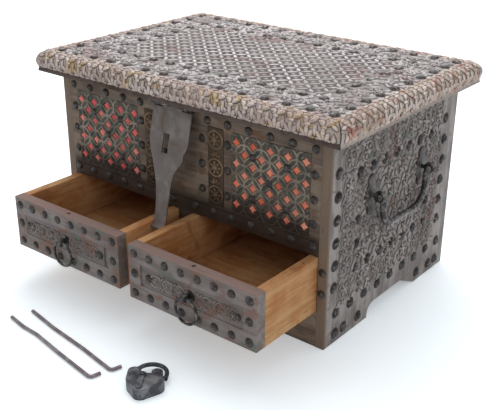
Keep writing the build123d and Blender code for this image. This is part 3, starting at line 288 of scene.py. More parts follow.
def worn_piece(name, nodes, body, slot, finish, *wear):
    """Puts a copy with worn edges in the place of CAD nodes; wear is the edges' width, segments and angle."""
    piece = wear_edges(plain_copy("worn_" + name, nodes), *(wear or (size_of("edge_wear"),)))
    finish_piece(piece, body, finish, nodes)


def join(name, *pieces):
    pick(pieces[0])
    for piece in pieces[1:]:
        piece.select_set(True)
    bpy.ops.object.join()
    bpy.context.object.name = name
    return bpy.context.object


def spread(first, last, count):
    return [first + (last - first) * i / (count - 1) for i in range(count)]


# ---------------------------------------------------------------- motifs and their places


def facing(side, level):
    """Turns (along, up, out) on one side into the chest's frame; level is how far out the face stands."""
    axes = {
        "front": ((1, 0, 0), (0, 0, 1), (0, -1, 0)),
        "right": ((0, 1, 0), (0, 0, 1), (1, 0, 0)),
        "left": ((0, -1, 0), (0, 0, 1), (-1, 0, 0)),
        "top": ((1, 0, 0), (0, 1, 0), (0, 0, 1)),
    }[side]
    turn = Matrix([Vector(axis) for axis in axes]).transposed().to_4x4()
    return Matrix.Translation(Vector(axes[2]) * level) @ turn


def spot(face, along, up, turn=0, size=(1, 1, 1)):
    """A place on a face, turned in its plane by degrees and scaled."""
    move = Matrix.Translation((along, up, 0))
    return face @ move @ Matrix.Rotation(math.radians(turn), 4, "Z") @ Matrix.Diagonal((*size, 1))


def ray(face, along, up, turn, size, share=0.6, twist=0):
    """A place for a leaf that grows from a foot, a share of its length away from it."""
    reach = share * size[0]
    x = math.cos(math.radians(turn)) * reach
    y = math.sin(math.radians(turn)) * reach
    return spot(face, along + x, up + y, turn + twist, size)


class Motif:
    """A carved or forged shape that is repeated: its points, its faces and how deep each point lies, which
    darkens wood with grime and painted shade, darkens cloth with painted shade and rusts iron.
    """

    def __init__(self, piece, depth=None):
        mesh = piece.data
        self.points = np.array([v.co[:] for v in mesh.vertices])
        self.faces = [tuple(p.vertices) for p in mesh.polygons]
        z = self.points[:, 2]
        self.depth = np.clip(1 - z / z.max(), 0, 1) if depth is None else np.full(len(z), depth)
        bpy.data.objects.remove(piece)


def stamped(name, entries, unit=MM):
    """One mesh with a copy of each (motif, place); 'recess' and 'tone' tell the material about each copy."""
    chance = random.Random(name)
    points, faces, recess, tone = [], [], [], []
    start = 0
    for motif, place in entries:
        matrix = np.array(place)
        points.append(motif.points @ matrix[:3, :3].T + matrix[:3, 3])
        faces += [tuple(start + i for i in face) for face in motif.faces]
        recess.append(motif.depth)
        tone.append(np.full(len(motif.points), chance.random()))
        start += len(motif.points)
    mesh = bpy.data.meshes.new(name)
    mesh.from_pydata((np.concatenate(points) * unit).tolist(), [], faces)
    for key, values in (("recess", recess), ("tone", tone)):
        values = np.concatenate(values).astype(np.float32)
        mesh.attributes.new(key, "FLOAT", "POINT").data.foreach_set("value", values)
    piece = bpy.data.objects.new(name, mesh)
    bpy.context.scene.collection.objects.link(piece)
    return piece


def motif_of(entries):
    """A larger motif made of placed smaller ones."""
    return Motif(stamped("motif", entries, 1))


def carve(name, entries, body, finish, angle=25):
    """A piece of carving laid over a board."""
    finish_piece(soften(stamped(name, entries), angle), body, finish)


def dome(radius, height, sides=12, steps=((1, 0), (0.93, 0.42), (0.7, 0.8), (0.36, 0.98))):
    """A hammered round head: a disc drawn up in steps (shares of radius and height) and closed below."""
    primitive("circle", vertices=sides, radius=radius, fill_type="NGON")
    for (r0, z0), (r1, z1) in zip(steps, steps[1:]):
        extrude((0, 0, (z1 - z0) * height))
        resize(r1 / r0, r1 / r0, 1)
    bpy.ops.mesh.poke()
    close_open_edges()
    return Motif(done())


def petal(bend=0.0, width_at=0.0, rows=6):
    """A leaf cut with a ridge, 1 long, 1 wide and 1 high; bend curls it, width_at moves its widest part."""
    primitive("grid", x_subdivisions=rows, y_subdivisions=2, size=1)
    near = 1e-4
    for i in range(rows + 1):
        u = i / rows - 0.5
        s = 2 * u
        half = max((1 - s * s) * (1 + width_at * s), 0.015)
        choose("verts", lambda v: abs(v.co.x - u) < near)
        resize(1, half, 1, (u, 0, 0))
        choose("verts", lambda v: abs(v.co.x - u) < near and abs(v.co.y) < near)
        shift(0, 0, half ** 0.6)
        choose("verts", lambda v: abs(v.co.x - u) < near)
        shift(0, bend * (s * s - 0.5), 0)
    close_open_edges()
    return Motif(done())


def ring(radius, wire, flat, around):
    """A half-round carved ring lying on the wood."""
    primitive("torus", major_radius=radius, minor_radius=wire, major_segments=around, minor_segments=8)
    bpy.ops.mesh.bisect(plane_co=(0, 0, 0), plane_no=(0, 0, 1), clear_inner=True)
    choose_open_edges()
    bpy.ops.mesh.bridge_edge_loops()
    select_all()
    resize(1, 1, flat, (0, 0, 0))
    face_outwards()
    return Motif(done())


def flat_tile(width, height, thick, depth):
    """A thin slab of carving's ground, with its edge sloped; depth is how dark it is made, as grime and
    painted shade.
    """
    primitive("plane", size=1)
    resize(width, height, 1)
    extrude((0, 0, thick))
    resize(1 - thick / width, 1 - thick / height, 1)
    close_open_edges()
    return Motif(done(), depth)


def nail_dirt_and_shadow(radius, depth):
    """A low round of grime and rust that gathers round a nail, which is also a painted shadow round its head.
    """
    stain = dome(radius, 0.4, 12, ((1, 0), (0.96, 1)))
    stain.depth[:] = depth
    return stain


def chisel_cuts():
    """The cuts that most of the carving is made of: a leaf, a comma and a round heart."""
    return petal(), petal(0.28, 0.5), dome(1, 1, 8)


def flower(leaf, heart, count, radius, height, heart_size=0.35):
    """Petals round a heart."""
    reach = radius * (1 - heart_size * 0.55)
    middle = radius - reach / 2
    wide = 2 * math.pi * middle / count * 1.05
    share = middle / reach
    entries = [(leaf, ray(FLAT, 0, 0, 360 * i / count, (reach, wide, height), share)) for i in range(count)]
    core = radius * heart_size
    entries.append((heart, spot(FLAT, 0, 0, 0, (core, core, height * 1.25))))
    return motif_of(entries)


def small_bud(leaf, heart):
    """A four-petalled bud, 1 across and 1 high."""
    return flower(leaf, heart, 4, 0.5, 1, 0.4)


def fill_between(face, area, pitch, taken, motifs, size, seed, mirror=1):
    """Small leaves over an area (from, to, foot, top), clear of what is taken (along, up, radius)."""
    chance = random.Random(seed)
    low, high, foot, top = area
    jitter = 0.12
    entries = []
    for j in range(int((top - foot) / pitch) + 1):
        for i in range(int((high - low) / pitch) + 1):
            x = low + (i + 0.5 * (j % 2)) * pitch + chance.uniform(-jitter, jitter) * pitch
            y = foot + j * pitch + chance.uniform(-jitter, jitter) * pitch
            if x > high or any(math.hypot(x - u, y - v) < r for u, v, r in taken):
                continue
            turn = 45 * (-1) ** (i + j) + chance.uniform(-25, 25)
            grown = tuple(value * chance.uniform(0.85, 1.2) for value in size)
            entries.append((chance.choice(motifs), spot(face, mirror * x, y, turn, grown)))
    return entries


# ---------------------------------------------------------------- node groups and materials


class Nodes:
    """Places and links nodes in one tree."""

    def __init__(self, tree):
        self.tree = tree
        self.count = 0

    def add(self, kind, inputs=None, **settings):
        node = self.tree.nodes.new(kind)
        self.count += 1
        node.location = (self.count % 12 * 200, -(self.count // 12) * 320)
        for key, value in settings.items():
            setattr(node, key, value)
        for key, value in (inputs or {}).items():
            self.feed(node.inputs[key], value)
        return node

    def feed(self, target, value):
        if isinstance(value, bpy.types.NodeSocket):
            self.tree.links.new(value, target)
        else:
            target.default_value = value

    def give(self, out, colour, roughness, height):
        for key, value in (("Color", colour), ("Roughness", roughness), ("Height", height)):
            self.feed(out[key], value)
        return self.tree

    def vector(self, operation, a, b):
        return self.add("ShaderNodeVectorMath", {0: a, 1: b}, operation=operation).outputs

    def noise(self, vector, scale, detail, roughness, distortion=0.0):
        inputs = {"Vector": vector, "Scale": scale, "Detail": detail}
        inputs.update({"Roughness": roughness, "Distortion": distortion})
        return self.add("ShaderNodeTexNoise", inputs).outputs["Fac"]

    def band(self, value, low, high):
        """0 below low, 1 above high and smooth between them."""
        inputs = {"Value": value, "From Min": low, "From Max": high}
        return self.add("ShaderNodeMapRange", inputs, interpolation_type="SMOOTHSTEP").outputs[0]

    def maths(self, operation, a, b, clamp=False):
        return self.add("ShaderNodeMath", {0: a, 1: b}, operation=operation, use_clamp=clamp).outputs[0]

    def total(self, start, *terms):
        """start and each value times its weight."""
        for value, weight in terms:
            start = self.maths("ADD", start, self.maths("MULTIPLY", value, weight))
        return start

    def mix(self, share, a, b, blend="MIX"):
        node = self.add("ShaderNodeMix", {0: share, 6: a, 7: b}, data_type="RGBA", blend_type=blend)
        return node.outputs[2]

    def shaded(self, tinted, value):
        """A colour made lighter or darker by a value."""
        grey = self.add("ShaderNodeCombineColor", {0: value, 1: value, 2: value}).outputs[0]
        return self.mix(1.0, tinted, grey, "MULTIPLY")


def new_group(name, inputs):
    """A node group with its inputs and defaults: its nodes, what it is given and what it puts out."""
    tree = bpy.data.node_groups.new(name, "ShaderNodeTree")
    for label, default in inputs.items():
        kind = "Float" if isinstance(default, float) else {3: "Vector", 4: "Color"}[len(default)]
        item = tree.interface.new_socket(name=label, in_out="INPUT", socket_type="NodeSocket" + kind)
        item.default_value = default
    for label, kind in (("Color", "Color"), ("Roughness", "Float"), ("Height", "Float")):
        tree.interface.new_socket(name=label, in_out="OUTPUT", socket_type="NodeSocket" + kind)
    nodes = Nodes(tree)
    return nodes, nodes.add("NodeGroupInput").outputs, nodes.add("NodeGroupOutput").inputs


def aged_wood_group():
    """Weathered carved wood: grain streaks, patches of old paint, a coloured band that is painted light on
    the mouldings' fillets and a real mark elsewhere, and grime with painted shade in the hollows.
    """
    grey = (0.3, 0.3, 0.3, 1)
    nodes, given, out = new_group("Aged Wood", {
        "Vector": (0, 0, 0), "Grain": (10, 90, 90), "Pale": grey, "Wood": grey, "Hollow": grey,
        "Patch": grey, "Patch Share": 0.3, "Second Patch": grey, "Second Share": 0.2, "Patch Scale": 22.0,
        "Stain": grey, "Stain Axis": (0, 0, 1), "Stain From": 9.0, "Stain Full": 10.0,
        "Recess": 0.0, "Tone": 0.0,
    })
    vector = given["Vector"]
    along = nodes.vector("MULTIPLY", vector, given["Grain"])[0]
    streak = nodes.noise(along, 1.0, 6, 0.62, 0.5)
    fibre = nodes.noise(nodes.vector("MULTIPLY", along, (3.1, 4.3, 4.3))[0], 1.0, 4, 0.6)
    cloud = nodes.noise(vector, 16, 4, 0.55, 0.3)
    speck = nodes.noise(vector, 420, 3, 0.6)
    crack = nodes.noise(nodes.vector("MULTIPLY", along, (0.6, 2.2, 2.2))[0], 1.0, 5, 0.7, 0.2)
    crack = nodes.band(crack, 0.36, 0.30)

    worn = nodes.band(nodes.total(0, (streak, 0.6), (cloud, 0.5)), 0.42, 0.66)
    tinted = nodes.mix(worn, given["Wood"], given["Pale"])
    first = nodes.noise(vector, given["Patch Scale"], 3, 0.5, 0.6)
    tinted = painted(nodes, tinted, given["Patch"], first, given["Patch Share"], 0.10, 0.8)
    turned = nodes.vector("MULTIPLY", vector, (1.3, 1.1, 1.7))[0]
    second = nodes.noise(turned, nodes.maths("MULTIPLY", given["Patch Scale"], 1.6), 3, 0.5, 0.4)
    tinted = painted(nodes, tinted, given["Second Patch"], second, given["Second Share"], 0.08, 0.75)

    # A coloured band by position: painted shade on the front and left moulding fillets, a painted highlight
    # on the right and back ones, and a real mark on other boards.
    reach = nodes.vector("DOT_PRODUCT", vector, given["Stain Axis"])["Value"]
    stain_and_light_share = nodes.band(reach, given["Stain From"], given["Stain Full"])
    stain_and_light_share = nodes.maths("MULTIPLY", stain_and_light_share, nodes.total(0.6, (cloud, 0.6)), clamp=True)
    tinted = nodes.mix(stain_and_light_share, tinted, given["Stain"])
    tinted = nodes.shaded(tinted, nodes.total(0.712, (fibre, 0.22), (speck, 0.22), (given["Tone"], 0.22)))
    # The hollows darken with their depth, as grime and painted shade; cracks darken as grime.
    deep = nodes.maths("MULTIPLY", given["Recess"], nodes.total(0.62, (cloud, 0.7)), clamp=True)
    dirt_and_shade = nodes.maths("MAXIMUM", nodes.band(deep, 0.35, 0.95), nodes.maths("MULTIPLY", crack, 0.75))
    tinted = nodes.mix(dirt_and_shade, tinted, given["Hollow"])
    height = nodes.total(0, (streak, 0.55), (fibre, 0.3), (speck, 0.22), (crack, -1))
    return nodes.give(out, tinted, nodes.total(0.62, (streak, 0.25)), height)


def painted(nodes, tinted, paint_colour, field, share, edge, strength):
    """Old paint left in patches, where a noise field passes a height that the share sets."""
    height = nodes.total(0.78, (share, -0.5))
    patch = nodes.band(field, height, nodes.maths("ADD", height, edge))
    return nodes.mix(nodes.maths("MULTIPLY", patch, strength), tinted, paint_colour)


def forged_iron_group():
    """Old iron: mottled scale, brown rust where it was never rubbed, and hammer marks."""
    nodes, given, out = new_group("Forged Iron", {
        "Vector": (0, 0, 0), "Iron": (0.05, 0.05, 0.05, 1), "Rubbed": (0.2, 0.2, 0.2, 1),
        "Rust": (0.1, 0.05, 0.03, 1), "Rust Share": 0.4, "Mottle Scale": 90.0, "Recess": 0.0,
    })
    vector = given["Vector"]
    mottle = nodes.noise(vector, given["Mottle Scale"], 5, 0.6, 0.4)
    fine = nodes.noise(vector, 700, 3, 0.6)
    metal = nodes.mix(nodes.band(mottle, 0.42, 0.68), given["Iron"], given["Rubbed"])
    rust_field = nodes.noise(vector, nodes.maths("MULTIPLY", given["Mottle Scale"], 0.45), 4, 0.6, 0.8)
    edge = nodes.total(0.75, (given["Rust Share"], -0.45), (given["Recess"], -0.16))
    rusted = nodes.band(rust_field, edge, nodes.maths("ADD", edge, 0.14))
    metal = nodes.mix(rusted, metal, given["Rust"])
    dents = nodes.add("ShaderNodeTexVoronoi", {"Vector": vector, "Scale": 240.0}, feature="SMOOTH_F1")
    height = nodes.total(0, (dents.outputs["Distance"], 0.6), (mottle, 0.6), (fine, 0.15))
    return nodes.give(out, metal, nodes.total(0.38, (fine, 0.16), (rusted, 0.3)), height)


def cloth_group():
    """Plain-woven dyed cloth, darker towards its edges as painted shade."""
    nodes, given, out = new_group("Woven Cloth", {
        "Vector": (0, 0, 0), "Dye": (0.5, 0.1, 0.1, 1), "Faded": (0.5, 0.2, 0.2, 1),
        "Recess": 0.0, "Tone": 0.5,
    })
    vector = given["Vector"]
    threads = {"Vector": vector, "Scale": 620.0, "Distortion": 0.6}
    warp, weft = (nodes.add("ShaderNodeTexWave", threads, bands_direction=way).outputs["Fac"] for way in "XZ")
    weave = nodes.maths("MULTIPLY", warp, weft)
    fade = nodes.band(nodes.noise(vector, 30, 4, 0.6), 0.35, 0.7)
    # Recess darkens the cloth towards its edges in the stars as painted shade.
    shade = nodes.total(0.62, (weave, 0.3), (given["Tone"], 0.36), (given["Recess"], -0.45))
    tinted = nodes.shaded(nodes.mix(fade, given["Dye"], given["Faded"]), shade)
    return nodes.give(out, tinted, nodes.total(0.8, (fade, 0.15)), weave)


GROUPS = {}
MATERIALS = {}


def group(maker):
    if maker not in GROUPS:
        GROUPS[maker] = maker()
    return GROUPS[maker]


def material(name, maker, inputs, bump, depth=0.6, metallic=0.0):
    """A Principled material whose colour, roughness and relief come from one of the shared groups."""
    if name in MATERIALS:
        return MATERIALS[name]
    made = bpy.data.materials.new(name)
    made.use_nodes = True
    made.node_tree.nodes.clear()
    nodes = Nodes(made.node_tree)
    recipe = nodes.add("ShaderNodeGroup", node_tree=group(maker))
    nodes.feed(recipe.inputs["Vector"], nodes.add("ShaderNodeTexCoord").outputs["Object"])
    for key in ("Recess", "Tone"):
        if key in recipe.inputs:
            mark = nodes.add("ShaderNodeAttribute", attribute_name=key.lower())
            nodes.feed(recipe.inputs[key], mark.outputs["Fac"])
    for key, value in inputs.items():
        nodes.feed(recipe.inputs[key], value)
    given = recipe.outputs
    bumps = {"Strength": bump, "Distance": depth * MM, "Height": given["Height"]}
    relief = nodes.add("ShaderNodeBump", bumps)
    shader = nodes.add("ShaderNodeBsdfPrincipled", {
        "Base Color": given["Color"], "Roughness": given["Roughness"], "Normal": relief.outputs["Normal"],
        "Metallic": metallic, "Specular IOR Level": 0.4,
    })
    nodes.add("ShaderNodeOutputMaterial", {"Surface": shader.outputs[0]})
    MATERIALS[name] = made
    return made


ALONG_X, ALONG_Y, ALONG_Z = (9, 95, 95), (95, 9, 95), (95, 95, 9)
UP, DOWN, FORWARD = (0, 0, 1), (0, 0, -1), (0, -1, 0)


def wood(name, shades, patches, shares, scale, grain, bump=0.6, stain=None):
    """Aged wood in pale, middle and dark shades, with two paints left over their shares of it.

    The coloured band, a real mark on most boards and painted light on the mouldings' fillets, is its colour,
    the way that it lies from the middle, and how far out it begins and is full.
    """
    colours = dict(zip(("Pale", "Wood", "Hollow", "Patch", "Second Patch"), (*shades, *paints(*patches))))
    inputs = {"Patch Share": shares[0], "Second Share": shares[1], "Patch Scale": scale, "Grain": grain}
    if stain:
        tone, axis, first, full = stain
        inputs.update({"Stain": srgb(*tone), "Stain Axis": axis})
        inputs.update({"Stain From": first * MM, "Stain Full": full * MM})
    return material(name, aged_wood_group, {**colours, **inputs}, bump)


def lid_wood():
    return wood("Lid Wood", tones("lid"), ((164, 140, 136), (150, 152, 144)), (0.42, 0.3), 14, ALONG_X)


def moulding_wood(side):
    """The mouldings' wood, whose fillet has painted shade in front and at the left, and a painted highlight
    at the right and behind.
    """
    front = side in ("front", "left")
    patches = ((196, 168, 122), (134, 112, 132)) if front else ((170, 108, 92), (164, 152, 114))
    # Painted shade on the front and left fillets, a painted highlight on the right and back fillets.
    stain = ((64, 44, 34), DOWN, -348.6, -347.4) if front else ((182, 172, 162), DOWN, -342.4, -341.6)
    grain = ALONG_X if side in ("front", "back") else ALONG_Y
    return wood("Moulding Wood " + side, tones("moulding"), patches, (0.46, 0.4), 52, grain, stain=stain)


def side_wood():
    patches = (128, 100, 94), (108, 118, 108)
    stain = (126, 105, 86), FORWARD, 184.6, 187.4
    return wood("Side Wood", tones("side"), patches, (0.34, 0.34), 20, ALONG_Z, stain=stain)


def front_wood(name="Front Wood", smoke=((52, 36, 26), DOWN, -200, -176)):
    """The front's wood, smoked dark towards the drawers."""
    return wood(name, tones("front"), ((98, 106, 92), (112, 78, 50)), (0.36, 0.36), 18, ALONG_X, stain=smoke)


def apron_wood():
    return front_wood("Apron Wood", None)


def strip_wood():
    shades = paints((152, 126, 100), (108, 86, 66), (36, 26, 18))
    stain = (74, 54, 40), DOWN, -230, -185
    return wood("Strip Wood", shades, ((140, 104, 70), (104, 104, 92)), (0.4, 0.3), 30, ALONG_Z, stain=stain)


def lattice_wood():
    shades = paints((152, 142, 128), (98, 90, 80), (24, 19, 15))
    stain = (58, 42, 32), DOWN, -224, -190
    return wood("Lattice Wood", shades, ((84, 94, 82), (104, 86, 90)), (0.5, 0.34), 46, ALONG_X, stain=stain)


def drawer_front_wood():
    patches = (108, 116, 104), (134, 100, 86)
    stain = (144, 118, 110), UP, 150.8, 152.4
    return wood("Drawer Front Wood", tones("drawer"), patches, (0.46, 0.46), 20, ALONG_X, stain=stain)


def honey_wood(grain_name, grain):
    shades = srgb(206, 160, 112), tint("honey"), srgb(92, 52, 26)
    patches = (164, 106, 62), (200, 148, 100)
    return wood("Honey Wood " + grain_name, shades, patches, (0.4, 0.4), 12, grain, 0.35)


def forged(name, shades, share, scale, metallic, bump=0.5, depth=0.6):
    """Iron in its own, its rubbed and its rust colour, with rust over a share of it."""
    inputs = dict(zip(("Iron", "Rubbed", "Rust"), shades))
    inputs.update({"Rust Share": share, "Mottle Scale": scale})
    return material(name, forged_iron_group, inputs, bump, depth, metallic)


def nail_iron():
    shades = tint("iron"), srgb(98, 90, 84), srgb(64, 48, 38)
    return forged("Nail Iron", shades, 0.4, 160, 0.3, 0.7)


def lid_nail_iron():
    return forged("Lid Nail Iron", paints((84, 79, 79), (152, 147, 145), (88, 74, 68)), 0.4, 160, 0.4)


def side_nail_iron():
    return forged("Side Nail Iron", paints((50, 47, 47), (108, 103, 102), (62, 48, 42)), 0.4, 160, 0.4)


def handle_iron():
    return forged("Handle Iron", paints((58, 54, 53), (140, 136, 134), (62, 46, 40)), 0.3, 80, 0.5)


def plate_iron():
    return forged("Plate Iron", paints((66, 60, 57), (114, 106, 102), (78, 56, 50)), 0.5, 70, 0.35)


def ring_iron():
    return forged("Ring Iron", paints((50, 47, 46), (124, 120, 117), (62, 48, 40)), 0.32, 90, 0.6)


def hasp_iron():
    return forged("Hasp Iron", (srgb(108, 99, 95), tint("hasp"), srgb(112, 92, 80)), 0.36, 34, 0.4, 0.3, 0.4)


def rod_steel():
    shades = paints((124, 114, 118), (156, 147, 149), (128, 106, 102))
    return forged("Rod Steel", shades, 0.45, 60, 0.4, 0.3, 0.3)


def padlock_iron():
    return forged("Padlock Iron", paints((66, 68, 74), (126, 126, 130), (82, 72, 68)), 0.3, 50, 0.5, 0.4)


def backing_cloth(side):
    dye, faded = (tint("cloth"), (255, 172, 144)) if side == "right" else (srgb(246, 96, 98), (255, 158, 144))
    return material("Backing Cloth " + side, cloth_group, {"Dye": dye, "Faded": srgb(*faded)}, 0.4, 0.3)


# ---------------------------------------------------------------- boards and lid


def worn_boards():
    """The carcass's plain boards."""
    rows = (
        ("front_board", front_wood()),
        ("front_apron", apron_wood()),
        ("back_board", side_wood()),
        ("drawer_divider", front_wood()),
    )
    for node, finish in rows:
        worn_piece(node, (node,), "carcass", "carcass_wood", finish)
    paint(honey_wood("x", ALONG_X), "chest_floor", "drawer_case_floor")


FIELD_X, FIELD_Y = 212, 114.35
COLUMNS, ROWS = 13, 7
CELL_X, CELL_Y = 2 * FIELD_X / COLUMNS, 2 * FIELD_Y / ROWS
GROUND_T = 0.25
BAND_X, BAND_Y = 254, 156.35
GROUND_X, GROUND_Y = 282, 185
LEAVES_X, LEAVES_Y = 283, 186
FIELD_GAP = 3
LID_LEAF, LID_LEAF_PITCH = (17, 10.5, 2.9), 11
NAIL_ROOM, FLOWER_ROOM = 11.5, 15.5


def carved_lid():
    """Both planks with a carved field of interlaced circles, a flowered band and leaves round every nail."""
    worn_piece("lid_planks", ("lid_plank_front", "lid_plank_back"), "lid", "lid_wood", lid_wood(), 0.5)
    top = facing("top", LID_TOP) @ Matrix.Translation((0, LID_MID_Y, 0))
    cell = field_cell()
    entries = [
        (cell, spot(top, (i - (COLUMNS - 1) / 2) * CELL_X, (j - (ROWS - 1) / 2) * CELL_Y))
        for i in range(COLUMNS) for j in range(ROWS)
    ]
    carve("carved_lid_field", entries + lid_band(top), "lid", lid_wood())


def field_cell():
    """One cell of the field: a lozenge of four leaves, with round buds at its middle and one corner."""
    leaf, _, heart = chisel_cuts()
    reach = math.hypot(CELL_X, CELL_Y) / 2
    size = (reach * 1.04, reach * 0.41, size_of("carving_height"))
    cell = [(flat_tile(CELL_X, CELL_Y, GROUND_T, 1), FLAT)]
    for turn, x, y in ((45, -1, 1), (45, 1, -1), (-45, 1, 1), (-45, -1, -1)):
        cell.append((leaf, spot(FLAT, x * CELL_X / 4, y * CELL_Y / 4, turn, size)))
    for corner in (0, 0.5):
        cell.append((heart, spot(FLAT, corner * CELL_X, corner * CELL_Y, 0, (4.2, 4.2, 0.9))))
    return motif_of(cell)


def lid_band(top):
    """Flowers between the two nail rows, and leaves over all the wood that is left."""
    leaf, comma, heart = chisel_cuts()
    bloom = flower(leaf, heart, 6, 13.4, 3.2)
    nails = [(x, y - LID_MID_Y) for x, y in nail_middles("nails_lid", 0, 1)]
    flowers = [(x, side * BAND_Y) for side in (-1, 1) for x in spread(-BAND_X, BAND_X, 14)]
    flowers += [(side * BAND_X, y) for side in (-1, 1) for y in spread(-BAND_Y, BAND_Y, 9)[1:-1]]
    entries = [(bloom, spot(top, x, y, 17 * i)) for i, (x, y) in enumerate(flowers)]
    # Rounds of grime and painted shadow under the lid's nails.
    dirt_and_shade = nail_dirt_and_shadow(9.2, 0.8)
    entries += [(dirt_and_shade, spot(top, x, y)) for x, y in nails]
    across = flat_tile(2 * LEAVES_X, GROUND_Y - FIELD_Y, GROUND_T, 0.7)
    upright = flat_tile(GROUND_X - FIELD_X, 2 * FIELD_Y, GROUND_T, 0.7)
    for side in (-1, 1):
        entries.append((across, spot(top, 0, side * (GROUND_Y + FIELD_Y) / 2)))
        entries.append((upright, spot(top, side * (GROUND_X + FIELD_X) / 2, 0)))
    taken = [(x, y, NAIL_ROOM) for x, y in nails] + [(x, y, FLOWER_ROOM) for x, y in flowers]
    areas = (
        (-LEAVES_X, LEAVES_X, -LEAVES_Y, -FIELD_Y - FIELD_GAP),
        (-LEAVES_X, LEAVES_X, FIELD_Y + FIELD_GAP, LEAVES_Y),
        (-LEAVES_X, -FIELD_X - FIELD_GAP, -FIELD_Y, FIELD_Y),
        (FIELD_X + FIELD_GAP, LEAVES_X, -FIELD_Y, FIELD_Y),
    )
    motifs = (leaf, comma, comma, small_bud(leaf, heart))
    for i, area in enumerate(areas):
        entries += fill_between(top, area, LID_LEAF_PITCH, taken, motifs, LID_LEAF, 20 + i)
    return entries


# ---------------------------------------------------------------- edge mouldings

MOULDING_W, FILLET_H = 26, 7
NOSE_POINTS = ((15, LID_T), (MOULDING_W, 17.8), (23, FILLET_H))
LID_BOTTOM = LID_TOP - LID_T
FILLET_TOP = LID_BOTTOM + FILLET_H
FAN_SINK = 1.4
FAN_PITCH, FAN_INSET = 26, 30
MITRE_DIRT, MITRE_LOOP = 1, 2
MOULDINGS = {
    "front": (-LID_HALF_X, LID_HALF_X, (0, -1, 0), LID_FRONT),
    "back": (-LID_HALF_X, LID_HALF_X, (0, 1, 0), LID_BACK),
    "left": (LID_FRONT, LID_BACK, (-1, 0, 0), -LID_HALF_X),
    "right": (LID_FRONT, LID_BACK, (1, 0, 0), LID_HALF_X),
}


def nose_circle():
    """The circle that the sunk bullnose follows: its middle (outward, above the underside) and its radius."""
    crown, nose, foot = (np.array(point) for point in NOSE_POINTS)
    chords = np.array([nose - crown, foot - crown])
    u, v = np.linalg.solve(chords, [(nose @ nose - crown @ crown) / 2, (foot @ foot - crown @ crown) / 2])
    return u - FAN_SINK, v, math.hypot(crown[0] - u, crown[1] - v)


def moulding_curve():
    """The sunk section from its inner top edge round to its fillet, as (outward, above the underside)."""
    u, v, radius = nose_circle()
    start = math.asin((LID_T - v) / radius)
    end = -math.asin((v - FILLET_H) / radius)
    arc = [(u + radius * math.cos(turn), v + radius * math.sin(turn)) for turn in spread(start, end, 21)]
    return np.array([(0, LID_T), (0.5 * u, LID_T)] + arc)


def on_moulding(side, along, outward, height):
    """A point of a moulding's section in the chest's frame."""
    out, edge = MOULDINGS[side][2:]
    z = LID_BOTTOM + height
    across = edge + sum(out) * (outward - MOULDING_W)
    return (along, across, z) if out[1] else (across, along, z)


def mitre(side, end, inset=0):
    """The plane of a moulding's mitre at one end (-1 or 1), as a point and the way beyond it."""
    first, last, out, _ = MOULDINGS[side]
    corner = on_moulding(side, (last if end > 0 else first) - end * inset, MOULDING_W, 0)
    along = Vector((end, 0, 0)) if out[1] else Vector((0, end, 0))
    return Vector(corner), along - Vector(out)


def moulding_bar(side):
    """One mitred edge moulding, turned from a round bar that is cut to its section and at both corners."""
    u, v, radius = nose_circle()
    first, last, out, _ = MOULDINGS[side]
    place = Vector(on_moulding(side, (first + last) / 2, u, v))
    turn = (0, math.pi / 2, 0) if out[1] else (math.pi / 2, 0, 0)
    axis = 1 if out[1] else 0
    out = Vector(out)
    deselect()
    bpy.ops.mesh.primitive_cylinder_add(
        vertices=96, radius=radius * MM, depth=(last - first) * MM, location=place * MM, rotation=turn
    )
    bpy.ops.object.transform_apply(location=True, rotation=True, scale=True)
    bar = bpy.context.object
    bar.name = "worn_lid_moulding_" + side
    edit()
    cut((0, 0, LID_TOP), (0, 0, 1))
    cut((0, 0, FILLET_TOP), (0, 0, -1))
    cut(place, -out)
    choose("faces", lambda f: f.normal.dot(out) < -0.99)
    extrude(-out * u * MM)
    choose("faces", lambda f: f.normal.z < -0.99)
    extrude((0, 0, -FILLET_H * MM))
    rim = place[axis] + out[axis] * radius * math.cos(math.asin((v - FILLET_H) / radius))
    underside = (LID_BOTTOM + 0.1) * MM
    choose("verts", lambda w: w.co.z < underside and abs(w.co[axis] - rim * MM) < 0.5 * MM)
    shift(*(out * FAN_SINK * MM))
    for end in (-1, 1):
        cut(*mitre(side, end))
    select_all()
    bpy.ops.mesh.dissolve_limited(angle_limit=math.radians(0.5))
    for end in (-1, 1):
        cut(*mitre(side, end, MITRE_LOOP), away=False)
    face_outwards()
    done()
    return wear_edges(bar, 0.6, 2, 40)


def dirty_mitres(bar, side):
    """Darkens the joint at both ends of a moulding."""
    recess = bar.data.attributes["recess"].data
    for end in (-1, 1):
        corner, beyond = mitre(side, end)
        for vert in bar.data.vertices:
            if (vert.co / MM - corner).dot(beyond.normalized()) > -MITRE_DIRT:
                recess[vert.index].value = 1


def wrap_on_moulding(piece, side):
    """Lays flat carving (along, down the section, out) over one moulding's rounded section."""
    curve = moulding_curve()
    steps = np.hypot(*np.diff(curve, axis=0).T)
    run = np.concatenate(([0], np.cumsum(steps)))
    tangent = np.gradient(curve, run, axis=0)
    tangent /= np.linalg.norm(tangent, axis=1)[:, None]
    along, down, lift = np.array([v.co[:] for v in piece.data.vertices]).T / MM
    down = np.clip(down, 0, run[-1])
    out, high, slope, rise = (np.interp(down, run, line) for line in (*curve.T, *tangent.T))
    placed = [on_moulding(side, *row) for row in zip(along, out - rise * lift, high + slope * lift)]
    piece.data.vertices.foreach_set("co", (np.array(placed) * MM).astype(np.float32).ravel())
    pick(piece)
    edit()
    face_outwards()
    done()


